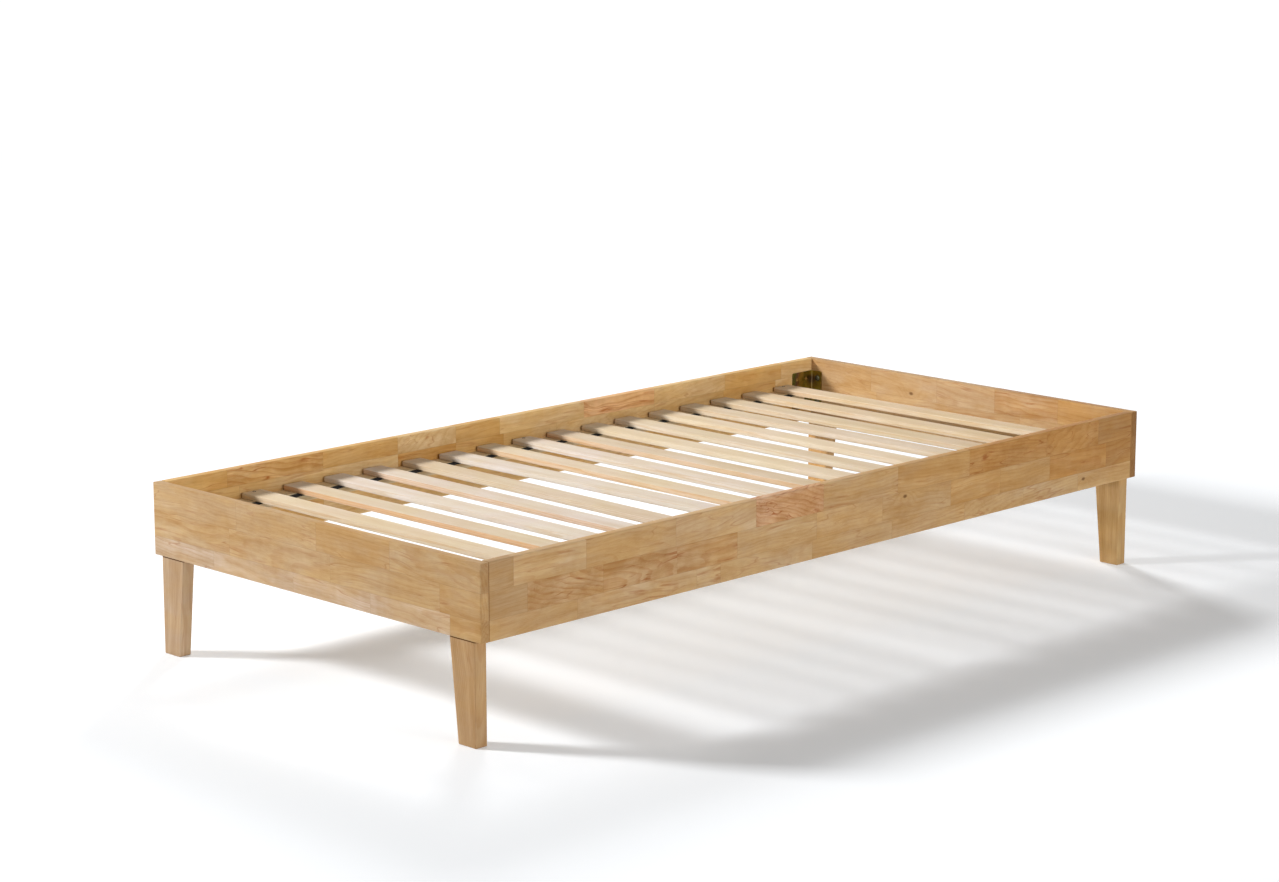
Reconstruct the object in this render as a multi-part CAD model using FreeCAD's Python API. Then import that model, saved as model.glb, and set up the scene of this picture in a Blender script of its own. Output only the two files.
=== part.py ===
"""Low slatted bed frame for a 900 x 1900 mattress: four solid boards, four tapered legs, a roll of slats.

Frame: +X runs along the bed from the foot end to the head end, +Y from the front rail to the rear rail, and +Z up.
The origin is on the floor under the middle of the frame. All sizes are in millimetres.
"""

import FreeCAD, Part
import math
import os

Vector = FreeCAD.Vector
Rotation = FreeCAD.Rotation
Placement = FreeCAD.Placement

# --- mattress and boards -------------------------------------------------------------------------------------
MATTRESS_LENGTH = 1900.0
MATTRESS_WIDTH = 900.0
MATTRESS_PLAY = 10.0          # free space between mattress and boards, on every side
BOARD_THICKNESS = 20.0        # all four boards
BOARD_HEIGHT = 148.0
BOARD_EDGE_RADIUS = 2.0       # rounding of the long edges
BOARD_END_EASING = 1.0        # of the upright edges, which leaves a fine groove at each corner of the frame

# --- legs ----------------------------------------------------------------------------------------------------
LEG_HEIGHT = 200.0
LEG_SETBACK = 2.5             # from the end board's outer face to the leg
LEG_THICKNESS = 28.0          # along the bed
LEG_TOP_WIDTH = 68.0          # across the bed, under the board
LEG_FOOT_WIDTH = 47.0         # across the bed, on the floor; the outer edge stays upright
LEG_EDGE_RADIUS = 1.5         # of the four upright edges

# --- slats ---------------------------------------------------------------------------------------------------
SLAT_COUNT = 16
SLAT_WIDTH = 52.0
SLAT_THICKNESS = 12.0
SLAT_EDGE_RADIUS = 3.0
SLAT_END_GAP = 1.0            # between a slat's end and the inner face of a corner bracket
SLAT_TOP_DEPTH = 51.0         # from the rail's top edge down to the slats
SLAT_FOOT_GAP = 204.0         # from the foot end board to the first slat's centre line
SLAT_HEAD_GAP = 108.0         # from the last slat's centre line to the head end board
# How the roll lies: each slat's shift along the bed, and its turn in degrees, as laid by hand.
SLAT_LAY = (
    (0.0, -0.5), (6.0, 0.2), (2.0, -0.4), (0.0, -0.5), (-4.0, -1.2), (10.0, 1.0), (1.0, -0.5), (0.0, -0.4),
    (0.0, 0.0), (0.0, 0.1), (-3.0, 0.1), (-2.0, -0.1), (1.0, 0.8), (-6.0, 0.5), (-8.0, 0.2), (0.0, 0.9),
)

# --- ledges that carry the slats -----------------------------------------------------------------------------
LEDGE_WIDTH = 45.0            # from the rail inwards
LEDGE_HEIGHT = 20.0
LEDGE_END_GAP = 5.0           # between a ledge's end and the corner bracket
LEDGE_EASING = 1.5            # of the two edges away from the rail

# --- webbing straps under the slats --------------------------------------------------------------------------
STRAP_WIDTH = 22.0
STRAP_THICKNESS = 1.2
STRAP_LEDGE_GAP = 2.0         # between strap and ledge
STRAP_FOOT_TAIL = 40.0        # free end past the first slat
STRAP_HEAD_TAIL = 8.0         # free end past the last slat

# --- corner brackets -----------------------------------------------------------------------------------------
BRACKET_HEIGHT = 90.0
BRACKET_RAIL_LEAF = 70.0      # leaf on the side rail
BRACKET_END_LEAF = 32.0       # leaf on the end board
BRACKET_THICKNESS = 3.0
BRACKET_BEND_RADIUS = 3.0     # inside the bend
BRACKET_CORNER_RADIUS = 4.0   # rounded leaf corners
BRACKET_TOP_DEPTH = 28.0      # from the board's top edge down to the bracket
BRACKET_HOLE_EDGE = 17.0      # from the bracket's upper and lower edge to its holes
BRACKET_NEAR_COLUMN = 24.0    # first column of screws, from the corner
BRACKET_FAR_COLUMN = 56.0     # second column of screws, from the corner
BRACKET_BOLT_COLUMN = 21.0    # column of bolts on the other leaf, from the corner

# --- fasteners -----------------------------------------------------------------------------------------------
FIT_CLEARANCE = 0.1           # radial, round every screw, bolt, insert and dowel
END_CLEARANCE = 1.0           # beyond the end of an insert, a dowel or a bolt
BORE_COVER = 4.0              # wood left beyond the bores in the end boards
SCREW_COVER = 5.0             # wood left beyond the points of the screws in the rails
M8_RADIUS = 3.9               # bolts and hanger bolts, over the thread
BOLT_HEAD_RADIUS = 7.0
BOLT_HEAD_HEIGHT = 4.4
BOLT_FACE_RADIUS = 4.2        # flat top of the head, round its socket
BOLT_DOME_RADIUS = 6.3        # halfway round the dome
BOLT_DOME_DEPTH = 1.8         # from the head's top to there
BOLT_SOCKET_RADIUS = 2.9      # hexagon socket, across its corners
BOLT_SOCKET_DEPTH = 2.6
INSERT_RADIUS = 6.0           # threaded inserts, outside
DOWEL_RADIUS = 4.0
DOWEL_IN_RAIL = 25.0
DOWEL_EDGE_DISTANCE = 30.0    # from the board's upper and lower edge
HANGER_IN_LEG = 32.0
HANGER_LEG_EDGE = 17.5        # from the leg's side edges, at its top
SCREW_RADIUS = 2.0            # bracket and slat screws
SCREW_HEAD_RADIUS = 4.0
SCREW_HEAD_DEPTH = 2.4
SCREW_POINT_LENGTH = 5.0
SCREW_POINT_RADIUS = 0.5      # blunt end of the point
SLAT_SCREW_COVER = 7.0        # wood left in the ledge under the slat screws
SLAT_SCREW_EDGE = 9.0         # from the slat's end
LEDGE_SCREW_STEP = 3          # slat pitches from one ledge screw to the next
LEDGE_SCREW_RADIUS = 2.4
LEDGE_SCREW_HEAD_RADIUS = 4.6
SMALL_SIDES = 8               # sides of fasteners and bores, which are too fine to need true rounds
HEAD_SIDES = 12               # sides of the bolt heads, which show
SOCKET_SIDES = 6
NEARLY_ALONG = 0.98           # least cosine at which an edge counts as running along a direction

# --- places that follow from the sizes -----------------------------------------------------------------------
INNER_LENGTH = MATTRESS_LENGTH + 2 * MATTRESS_PLAY
INNER_WIDTH = MATTRESS_WIDTH + 2 * MATTRESS_PLAY
HALF_INNER_X = INNER_LENGTH / 2
HALF_INNER_Y = INNER_WIDTH / 2
HALF_X = HALF_INNER_X + BOARD_THICKNESS
HALF_Y = HALF_INNER_Y + BOARD_THICKNESS
BOARD_TOP = LEG_HEIGHT + BOARD_HEIGHT
SLAT_TOP = BOARD_TOP - SLAT_TOP_DEPTH
SLAT_BOTTOM = SLAT_TOP - SLAT_THICKNESS
SLAT_LENGTH = INNER_WIDTH - 2 * (BRACKET_THICKNESS + SLAT_END_GAP)
SLAT_PITCH = (INNER_LENGTH - SLAT_FOOT_GAP - SLAT_HEAD_GAP) / (SLAT_COUNT - 1)
FIRST_SLAT_X = SLAT_FOOT_GAP - HALF_INNER_X
SCREWED_SLATS = (1, SLAT_COUNT // 2, SLAT_COUNT)
LEDGE_INNER_Y = HALF_INNER_Y - LEDGE_WIDTH
LEDGE_HALF_X = HALF_INNER_X - BRACKET_RAIL_LEAF - LEDGE_END_GAP
STRAP_Y = LEDGE_INNER_Y - STRAP_LEDGE_GAP - STRAP_WIDTH / 2
BRACKET_TOP = BOARD_TOP - BRACKET_TOP_DEPTH
BRACKET_BOTTOM = BRACKET_TOP - BRACKET_HEIGHT
BRACKET_ROWS = (BRACKET_BOTTOM + BRACKET_HOLE_EDGE, BRACKET_TOP - BRACKET_HOLE_EDGE)
DOWEL_ROWS = (LEG_HEIGHT + DOWEL_EDGE_DISTANCE, BOARD_TOP - DOWEL_EDGE_DISTANCE)
BORE_DEPTH = BOARD_THICKNESS - BORE_COVER
INSERT_LENGTH = BORE_DEPTH - END_CLEARANCE
DOWEL_IN_BOARD = BORE_DEPTH - END_CLEARANCE
BOLT_IN_INSERT = INSERT_LENGTH - END_CLEARANCE
BOLT_LENGTH = BRACKET_THICKNESS + BOLT_IN_INSERT
BRACKET_SCREW_LENGTH = BRACKET_THICKNESS + BOARD_THICKNESS - SCREW_COVER
LEDGE_SCREW_LENGTH = LEDGE_WIDTH + BOARD_THICKNESS - SCREW_COVER
SLAT_SCREW_LENGTH = SLAT_THICKNESS + LEDGE_HEIGHT - SLAT_SCREW_COVER

ENDS = {"foot": -1, "head": 1}
SIDES = {"front": -1, "rear": 1}
CORNERS = [(end, side) for end in ENDS for side in SIDES]


# --- small helpers -------------------------------------------------------------------------------------------
def block(low, high):
    """A box from its lowest to its highest corner."""
    size = Vector(*high) - Vector(*low)
    return Part.makeBox(size.x, size.y, size.z, Vector(*low))


def plate(points):
    """A flat face inside a ring of points."""
    return Part.Face(Part.makePolygon(points + points[:1]))


def edges_along(shape, direction):
    """The straight edges of a shape that run roughly along a direction."""
    found = []
    for edge in shape.Edges:
        run = edge.Vertexes[-1].Point - edge.Vertexes[0].Point
        if run.Length > 0 and abs(run.normalize().dot(Vector(*direction))) > NEARLY_ALONG:
            found.append(edge)
    return found


def turned(profile, start, direction, sides=SMALL_SIDES):
    """A many-sided solid round an axis that leaves start along a direction, from (radius, distance) rings."""
    angles = [2 * math.pi * (step + 0.5) / sides for step in range(sides)]
    rings = [
        [Vector(radius * math.cos(angle), radius * math.sin(angle), distance) for angle in angles]
        for radius, distance in profile
    ]
    faces = [plate(rings[0]), plate(rings[-1])]
    for low, high in zip(rings, rings[1:]):
        faces += [plate([low[k - 1], low[k], high[k], high[k - 1]]) for k in range(sides)]
    solid = Part.makeSolid(Part.makeShell(faces))
    if solid.Volume < 0:
        solid.reverse()
    solid.Placement = Placement(Vector(*start), Rotation(Vector(0, 0, 1), Vector(*direction)))
    return solid


def rod(start, direction, radius, length):
    """A straight rod from a start point along a direction."""
    return turned([(radius, 0), (radius, length)], start, direction)


def mirrored_to(shape, end, side):
    """A shape drawn for the head-rear corner, moved to another corner by mirroring."""
    copy = shape.copy()
    if ENDS[end] < 0:
        copy = copy.mirror(Vector(0, 0, 0), Vector(1, 0, 0))
    if SIDES[side] < 0:
        copy = copy.mirror(Vector(0, 0, 0), Vector(0, 1, 0))
    return copy


def at_corners(shapes):
    """Copies of some shapes in all four corners."""
    return [mirrored_to(shape, end, side) for end, side in CORNERS for shape in shapes]


def screw(start, direction, length, radius=SCREW_RADIUS, head_radius=SCREW_HEAD_RADIUS):
    """A countersunk wood screw: its head is level with start, and its point is blunt."""
    return turned(
        [
            (head_radius, 0), (radius, SCREW_HEAD_DEPTH),
            (radius, length - SCREW_POINT_LENGTH), (SCREW_POINT_RADIUS, length),
        ],
        start,
        direction,
    )


def screw_hole(start, direction, length, radius=SCREW_RADIUS, head_radius=SCREW_HEAD_RADIUS):
    """The countersunk hole for such a screw, wider all round by the fit clearance."""
    return turned(
        [
            (head_radius + FIT_CLEARANCE, 0), (radius + FIT_CLEARANCE, SCREW_HEAD_DEPTH),
            (radius + FIT_CLEARANCE, length + FIT_CLEARANCE),
        ],
        start,
        direction,
    )


def cut_all(shape, tools):
    """A shape less a list of tools."""
    return shape.cut(Part.makeCompound(tools))


# --- where the fasteners sit ---------------------------------------------------------------------------------
def bracket_screw_seats():
    """Heads of the wood screws of the head-rear bracket, on its rail leaf: (start, direction)."""
    face_y = HALF_INNER_Y - BRACKET_THICKNESS
    return [
        ((HALF_INNER_X - column, face_y, row), (0, 1, 0))
        for column in (BRACKET_NEAR_COLUMN, BRACKET_FAR_COLUMN)
        for row in BRACKET_ROWS
    ]


def bracket_bolt_points():
    """Where the bolts of the head-rear bracket cross the inner face of the end board."""
    return [(HALF_INNER_X, HALF_INNER_Y - BRACKET_BOLT_COLUMN, row) for row in BRACKET_ROWS]


def leg_bolt_points():
    """Where the hanger bolts of the head-rear leg cross the lower edge of the end board."""
    middle_x = HALF_X - BOARD_THICKNESS / 2
    return [
        (middle_x, HALF_INNER_Y - distance, LEG_HEIGHT)
        for distance in (HANGER_LEG_EDGE, LEG_TOP_WIDTH - HANGER_LEG_EDGE)
    ]


def dowel_points():
    """Where the dowels of the head-rear corner cross from the side rail into the end board."""
    return [(HALF_INNER_X, HALF_INNER_Y + BOARD_THICKNESS / 2, row) for row in DOWEL_ROWS]


def ledge_screw_seats(side):
    """Heads of the screws of one ledge, on its inner side and midway between slats: (start, direction)."""
    toward_rail = SIDES[side]
    middle_z = SLAT_BOTTOM - LEDGE_HEIGHT / 2
    return [
        ((FIRST_SLAT_X + (gap - 0.5) * SLAT_PITCH, toward_rail * LEDGE_INNER_Y, middle_z), (0, toward_rail, 0))
        for gap in range(0, SLAT_COUNT, LEDGE_SCREW_STEP)
    ]


def slat_lay(number):
    """Where a slat's centre line crosses the middle of the bed, and its turn; slats count from 1 at the foot."""
    shift, turn = SLAT_LAY[(number - 1) % len(SLAT_LAY)]
    return FIRST_SLAT_X + (number - 1) * SLAT_PITCH + shift, turn


def slat_screw_seats(number):
    """Heads of the two screws of a screwed slat, by side: (start, direction)."""
    x, turn = slat_lay(number)
    y = SLAT_LENGTH / 2 - SLAT_SCREW_EDGE
    lean = math.tan(math.radians(turn))
    return {side: ((x - SIDES[side] * y * lean, SIDES[side] * y, SLAT_TOP), (0, 0, -1)) for side in SIDES}


# --- boards --------------------------------------------------------------------------------------------------
def blank_board(low, high, direction):
    """A board with eased upright end edges and rounded long edges."""
    board = block(low, high)
    board = board.makeChamfer(BOARD_END_EASING, edges_along(board, (0, 0, 1)))
    return board.makeFillet(BOARD_EDGE_RADIUS, edges_along(board, direction))


def end_board():
    """The head end board, bored for its inserts and dowels."""
    board = blank_board((HALF_INNER_X, -HALF_Y, LEG_HEIGHT), (HALF_X, HALF_Y, BOARD_TOP), (0, 1, 0))
    insert_bore = INSERT_RADIUS + FIT_CLEARANCE
    bores = [rod(point, (1, 0, 0), insert_bore, BORE_DEPTH) for point in bracket_bolt_points()]
    bores += [rod(point, (0, 0, 1), insert_bore, BORE_DEPTH) for point in leg_bolt_points()]
    bores += [rod(point, (1, 0, 0), DOWEL_RADIUS + FIT_CLEARANCE, BORE_DEPTH) for point in dowel_points()]
    return cut_all(board, [mirrored_to(bore, "head", side) for side in SIDES for bore in bores])


def side_rail(side):
    """One long board, bored for the dowels, the bracket screws and the ledge screws."""
    near, far = sorted((SIDES[side] * HALF_INNER_Y, SIDES[side] * HALF_Y))
    rail = blank_board((-HALF_INNER_X, near, LEG_HEIGHT), (HALF_INNER_X, far, BOARD_TOP), (1, 0, 0))
    corner_bores = [
        rod(point, (-1, 0, 0), DOWEL_RADIUS + FIT_CLEARANCE, DOWEL_IN_RAIL + END_CLEARANCE)
        for point in dowel_points()
    ]
    corner_bores += [
        rod(start, direction, SCREW_RADIUS + FIT_CLEARANCE, BRACKET_SCREW_LENGTH + FIT_CLEARANCE)
        for start, direction in bracket_screw_seats()
    ]
    bores = [mirrored_to(bore, end, side) for end in ENDS for bore in corner_bores]
    bores += [
        rod(start, direction, LEDGE_SCREW_RADIUS + FIT_CLEARANCE, LEDGE_SCREW_LENGTH + FIT_CLEARANCE)
        for start, direction in ledge_screw_seats(side)
    ]
    return cut_all(rail, bores)


# --- legs ----------------------------------------------------------------------------------------------------
def leg():
    """The head-rear leg: a plank with one upright and one sloping edge, bored for its hanger bolts."""
    outer = HALF_INNER_Y
    face = HALF_X - LEG_SETBACK
    outline = [
        Vector(face, outer, 0),
        Vector(face, outer - LEG_FOOT_WIDTH, 0),
        Vector(face, outer - LEG_TOP_WIDTH, LEG_HEIGHT),
        Vector(face, outer, LEG_HEIGHT),
    ]
    plank = plate(outline).extrude(Vector(-LEG_THICKNESS, 0, 0))
    plank = plank.makeFillet(LEG_EDGE_RADIUS, edges_along(plank, (0, 0, 1)))
    bores = [
        rod(point, (0, 0, -1), M8_RADIUS + FIT_CLEARANCE, HANGER_IN_LEG + FIT_CLEARANCE)
        for point in leg_bolt_points()
    ]
    return cut_all(plank, bores)


# --- slat roll -----------------------------------------------------------------------------------------------
def slat(number):
    """A slat with rounded long edges, countersunk where it is screwed down."""
    half = SLAT_LENGTH / 2
    board = block((-SLAT_WIDTH / 2, -half, -SLAT_THICKNESS), (SLAT_WIDTH / 2, half, 0))
    board = board.makeFillet(SLAT_EDGE_RADIUS, edges_along(board, (0, 1, 0)))
    x, turn = slat_lay(number)
    board.Placement = Placement(Vector(x, 0, SLAT_TOP), Rotation(Vector(0, 0, 1), turn))
    if number in SCREWED_SLATS:
        seats = slat_screw_seats(number).values()
        board = cut_all(board, [screw_hole(start, direction, SLAT_SCREW_LENGTH) for start, direction in seats])
    return board


def strap(side):
    """The webbing strap that the slats are fixed to, under the slats and just clear of the ledge."""
    middle = SIDES[side] * STRAP_Y
    first = slat_lay(1)[0] - SLAT_WIDTH / 2 - STRAP_FOOT_TAIL
    last = slat_lay(SLAT_COUNT)[0] + SLAT_WIDTH / 2 + STRAP_HEAD_TAIL
    return block(
        (first, middle - STRAP_WIDTH / 2, SLAT_BOTTOM - STRAP_THICKNESS),
        (last, middle + STRAP_WIDTH / 2, SLAT_BOTTOM),
    )


def ledge(side):
    """The batten along a side rail that carries the slats."""
    inner = SIDES[side] * LEDGE_INNER_Y
    near, far = sorted((inner, SIDES[side] * HALF_INNER_Y))
    batten = block((-LEDGE_HALF_X, near, SLAT_BOTTOM - LEDGE_HEIGHT), (LEDGE_HALF_X, far, SLAT_BOTTOM))
    free_edges = [edge for edge in edges_along(batten, (1, 0, 0)) if edge.Vertexes[0].Point.y == inner]
    batten = batten.makeChamfer(LEDGE_EASING, free_edges)
    tools = [
        screw_hole(start, direction, LEDGE_SCREW_LENGTH, LEDGE_SCREW_RADIUS, LEDGE_SCREW_HEAD_RADIUS)
        for start, direction in ledge_screw_seats(side)
    ]
    for number in SCREWED_SLATS:
        start, direction = slat_screw_seats(number)[side]
        tools.append(rod(start, direction, SCREW_RADIUS + FIT_CLEARANCE, SLAT_SCREW_LENGTH + FIT_CLEARANCE))
    return cut_all(batten, tools)


# --- corner hardware -----------------------------------------------------------------------------------------
def bracket():
    """The head-rear corner bracket: a strip bent through a right angle, with its screw and bolt holes."""
    x, y = HALF_INNER_X, HALF_INNER_Y
    gauge = BRACKET_THICKNESS
    outside = BRACKET_BEND_RADIUS + gauge
    bend_centre = Vector(x - outside, y - outside, 0)
    slant = Vector(math.cos(math.pi / 4), math.sin(math.pi / 4), 0)
    rail_end = x - BRACKET_RAIL_LEAF
    board_end = y - BRACKET_END_LEAF
    straight = Part.LineSegment
    outline = [
        straight(Vector(rail_end, y, 0), Vector(x - outside, y, 0)),
        Part.Arc(Vector(x - outside, y, 0), bend_centre + slant * outside, Vector(x, y - outside, 0)),
        straight(Vector(x, y - outside, 0), Vector(x, board_end, 0)),
        straight(Vector(x, board_end, 0), Vector(x - gauge, board_end, 0)),
        straight(Vector(x - gauge, board_end, 0), Vector(x - gauge, y - outside, 0)),
        Part.Arc(
            Vector(x - gauge, y - outside, 0),
            bend_centre + slant * BRACKET_BEND_RADIUS,
            Vector(x - outside, y - gauge, 0),
        ),
        straight(Vector(x - outside, y - gauge, 0), Vector(rail_end, y - gauge, 0)),
        straight(Vector(rail_end, y - gauge, 0), Vector(rail_end, y, 0)),
    ]
    angle = Part.Face(Part.Wire([curve.toShape() for curve in outline])).extrude(Vector(0, 0, BRACKET_HEIGHT))
    angle.translate(Vector(0, 0, BRACKET_BOTTOM))
    leaf_corners = [edge for edge in edges_along(angle, (0, 1, 0)) if edge.BoundBox.XMax < rail_end + gauge]
    leaf_corners += [edge for edge in edges_along(angle, (1, 0, 0)) if edge.BoundBox.YMax < board_end + gauge]
    angle = angle.makeFillet(BRACKET_CORNER_RADIUS, leaf_corners)
    tools = [screw_hole(start, direction, BRACKET_SCREW_LENGTH) for start, direction in bracket_screw_seats()]
    tools += [rod(point, (-1, 0, 0), M8_RADIUS + FIT_CLEARANCE, gauge) for point in bracket_bolt_points()]
    return cut_all(angle, tools)


def bracket_bolt(point):
    """A bolt with a low domed head and a hexagon socket, through the bracket into its insert."""
    seat = Vector(*point) - Vector(BRACKET_THICKNESS, 0, 0)
    head_top = seat - Vector(BOLT_HEAD_HEIGHT, 0, 0)
    dome = [
        (BOLT_FACE_RADIUS, 0), (BOLT_DOME_RADIUS, BOLT_DOME_DEPTH), (BOLT_HEAD_RADIUS, BOLT_HEAD_HEIGHT),
    ]
    head = turned(dome, head_top, (1, 0, 0), HEAD_SIDES)
    hexagon = [(BOLT_SOCKET_RADIUS, 0), (BOLT_SOCKET_RADIUS, BOLT_SOCKET_DEPTH)]
    socket = turned(hexagon, head_top, (1, 0, 0), SOCKET_SIDES)
    return head.cut(socket).fuse(rod(seat, (1, 0, 0), M8_RADIUS, BOLT_LENGTH))


def insert(point, direction):
    """A threaded insert, drawn as a plain sleeve that the bolt clears."""
    sleeve = rod(point, direction, INSERT_RADIUS, INSERT_LENGTH)
    return sleeve.cut(rod(point, direction, M8_RADIUS + FIT_CLEARANCE, INSERT_LENGTH))


def hanger_bolt(point):
    """A hanger bolt: its pointed wood thread is in the leg, and its machine thread in the end board's insert."""
    start = Vector(*point) - Vector(0, 0, HANGER_IN_LEG)
    profile = [
        (SCREW_POINT_RADIUS, 0), (M8_RADIUS, SCREW_POINT_LENGTH), (M8_RADIUS, HANGER_IN_LEG + BOLT_IN_INSERT),
    ]
    return turned(profile, start, (0, 0, 1))


def dowel(point):
    """A locating dowel between side rail and end board."""
    start = Vector(*point) - Vector(DOWEL_IN_RAIL, 0, 0)
    return rod(start, (1, 0, 0), DOWEL_RADIUS, DOWEL_IN_RAIL + DOWEL_IN_BOARD)


# --- assembly ------------------------------------------------------------------------------------------------
def fasteners():
    """Every kind of fastener by name, each a list of like solids."""
    bolt_points = bracket_bolt_points()
    leg_points = leg_bolt_points()
    return {
        "slat_screws": [
            screw(start, direction, SLAT_SCREW_LENGTH)
            for number in SCREWED_SLATS
            for start, direction in slat_screw_seats(number).values()
        ],
        "ledge_screws": [
            screw(start, direction, LEDGE_SCREW_LENGTH, LEDGE_SCREW_RADIUS, LEDGE_SCREW_HEAD_RADIUS)
            for side in SIDES
            for start, direction in ledge_screw_seats(side)
        ],
        "bracket_screws": at_corners([screw(*seat, BRACKET_SCREW_LENGTH) for seat in bracket_screw_seats()]),
        "bracket_bolts": at_corners([bracket_bolt(point) for point in bolt_points]),
        "bracket_bolt_inserts": at_corners([insert(point, (1, 0, 0)) for point in bolt_points]),
        "leg_hanger_bolts": at_corners([hanger_bolt(point) for point in leg_points]),
        "leg_bolt_inserts": at_corners([insert(point, (0, 0, 1)) for point in leg_points]),
        "corner_dowels": at_corners([dowel(point) for point in dowel_points()]),
    }


def assembly():
    """Every sub-part by name: one solid, or a compound of like solids."""
    head_board = end_board()
    parts = {"head_end_board": head_board, "foot_end_board": head_board.mirror(Vector(0, 0, 0), Vector(1, 0, 0))}
    for side in SIDES:
        parts[side + "_side_rail"] = side_rail(side)
        parts[side + "_slat_ledge"] = ledge(side)
        parts[side + "_slat_strap"] = strap(side)
    for end, side in CORNERS:
        parts["%s_%s_leg" % (end, side)] = mirrored_to(leg(), end, side)
        parts["%s_%s_bracket" % (end, side)] = mirrored_to(bracket(), end, side)
    for number in range(1, SLAT_COUNT + 1):
        parts["slat_%02d" % number] = slat(number)
    for name, solids in fasteners().items():
        parts[name] = Part.makeCompound(solids)
    return parts


def main():
    """Build every sub-part and write one STEP file for each."""
    os.makedirs("parts", exist_ok=True)
    for name, shape in assembly().items():
        shape.exportStep("parts/%s.step" % name)


main()
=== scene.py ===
"""Looks of a low slatted bed frame: oiled laminated boards, tapered legs and a roll of planed slats.

Everything is in metres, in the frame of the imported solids: +X from the foot end to the head end, +Y from the front
rail to the rear rail, +Z up, with the origin on the floor under the middle of the bed.
"""

import logging
import math
from dataclasses import dataclass, field
from enum import Enum
from functools import cache
from itertools import chain, product
from typing import Any, Callable, Optional, Sequence, Union

import bpy
import numpy as np
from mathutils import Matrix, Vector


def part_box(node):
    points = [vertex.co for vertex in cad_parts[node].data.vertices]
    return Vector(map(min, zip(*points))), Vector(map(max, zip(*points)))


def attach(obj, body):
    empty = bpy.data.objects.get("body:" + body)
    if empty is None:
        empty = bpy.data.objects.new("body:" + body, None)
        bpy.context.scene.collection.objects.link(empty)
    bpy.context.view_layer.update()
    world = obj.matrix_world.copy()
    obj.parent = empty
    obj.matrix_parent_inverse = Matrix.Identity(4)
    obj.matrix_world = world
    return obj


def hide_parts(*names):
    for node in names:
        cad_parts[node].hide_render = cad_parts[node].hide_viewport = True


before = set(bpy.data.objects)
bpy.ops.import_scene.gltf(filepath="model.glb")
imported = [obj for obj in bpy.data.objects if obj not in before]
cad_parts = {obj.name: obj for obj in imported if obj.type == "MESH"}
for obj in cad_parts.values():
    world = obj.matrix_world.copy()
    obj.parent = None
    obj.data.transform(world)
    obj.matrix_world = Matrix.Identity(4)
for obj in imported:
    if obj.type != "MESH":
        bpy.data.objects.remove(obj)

LOG = logging.getLogger("bed")
MM = 0.001
FAR = 1.0  # past every end of the bed
TRUNK = 9.0  # metres of trunk that staves are cut from
RIGHT_ANGLE = math.pi / 2
FULL_TURN = 2 * math.pi
BODY = "root"

Array = np.ndarray
Colour = tuple[float, float, float]
Point = tuple[float, float, float]
Span = tuple[float, float]
Faces = list[tuple[int, ...]]
Material = bpy.types.Material
Thing = bpy.types.Object
Random = np.random.Generator
Number = Union[int, float]


# --- colours ---
def paint(red: int, green: int, blue: int) -> Colour:
    """Turn a colour as a screen shows it into light values.

    Each channel c of 0 to 1 becomes ((c + 0.055) / 1.055) to the power 2.4, or c / 12.92 in the darkest part.

    Args:
        red: Red from 0 to 255.
        green: Green from 0 to 255.
        blue: Blue from 0 to 255.

    Returns:
        The three light values.
    """
    shown = np.array([red, green, blue], float) / 255
    light = np.where(shown > 0.04045, ((shown + 0.055) / 1.055) ** 2.4, shown / 12.92)
    return tuple(float(value) for value in light)


# --- shader nodes as expressions ---
class Layer(Enum):
    """Noises that are drawn out: scale on each axis in 1/m, detail and roughness."""

    DRIFT = ((5.0, 13.0, 13.0), 2.0, 0.5)
    QUICK = ((12.0, 110.0, 110.0), 2.0, 0.5)
    FIBRE = ((26.0, 640.0, 640.0), 3.0, 0.65)
    BAND = ((2.4, 46.0, 46.0), 4.0, 0.6)
    CLOUD = ((9.0, 26.0, 26.0), 3.0, 0.6)
    RIPPLE = ((48.0, 30.0, 30.0), 2.0, 0.5)
    STREAK = ((4.0, 105.0, 105.0), 3.0, 0.55)
    VEIN = ((2.2, 34.0, 34.0), 2.0, 0.5)
    PORE = ((75.0, 1150.0, 1150.0), 1.0, 0.5)
    TONE = ((7.0, 7.0, 20.0), 4.0, 0.6)
    DRAW_LINE = ((60.0, 60.0, 2400.0), 2.0, 0.5)
    SCUFF = ((300.0, 300.0, 60.0), 3.0, 0.5)


class Value:
    """One output in a node tree, with arithmetic that adds the Math nodes."""

    def __init__(self, net: "Net", socket: bpy.types.NodeSocket) -> None:
        """Keep the socket and the net that it belongs to."""
        self.net = net
        self.socket = socket

    def __add__(self, other: "Term") -> "Value":
        """Add."""
        return self.net.math("ADD", self, other)

    def __mul__(self, other: "Term") -> "Value":
        """Multiply."""
        return self.net.math("MULTIPLY", self, other)

    def __sub__(self, other: "Term") -> "Value":
        """Subtract."""
        return self.net.math("SUBTRACT", self, other)

    def __rsub__(self, other: "Term") -> "Value":
        """Subtract from a number."""
        return self.net.math("SUBTRACT", other, self)

    def __truediv__(self, other: "Term") -> "Value":
        """Divide."""
        return self.net.math("DIVIDE", self, other)

    __radd__ = __add__
    __rmul__ = __mul__


Term = Union[Value, Number]


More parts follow.
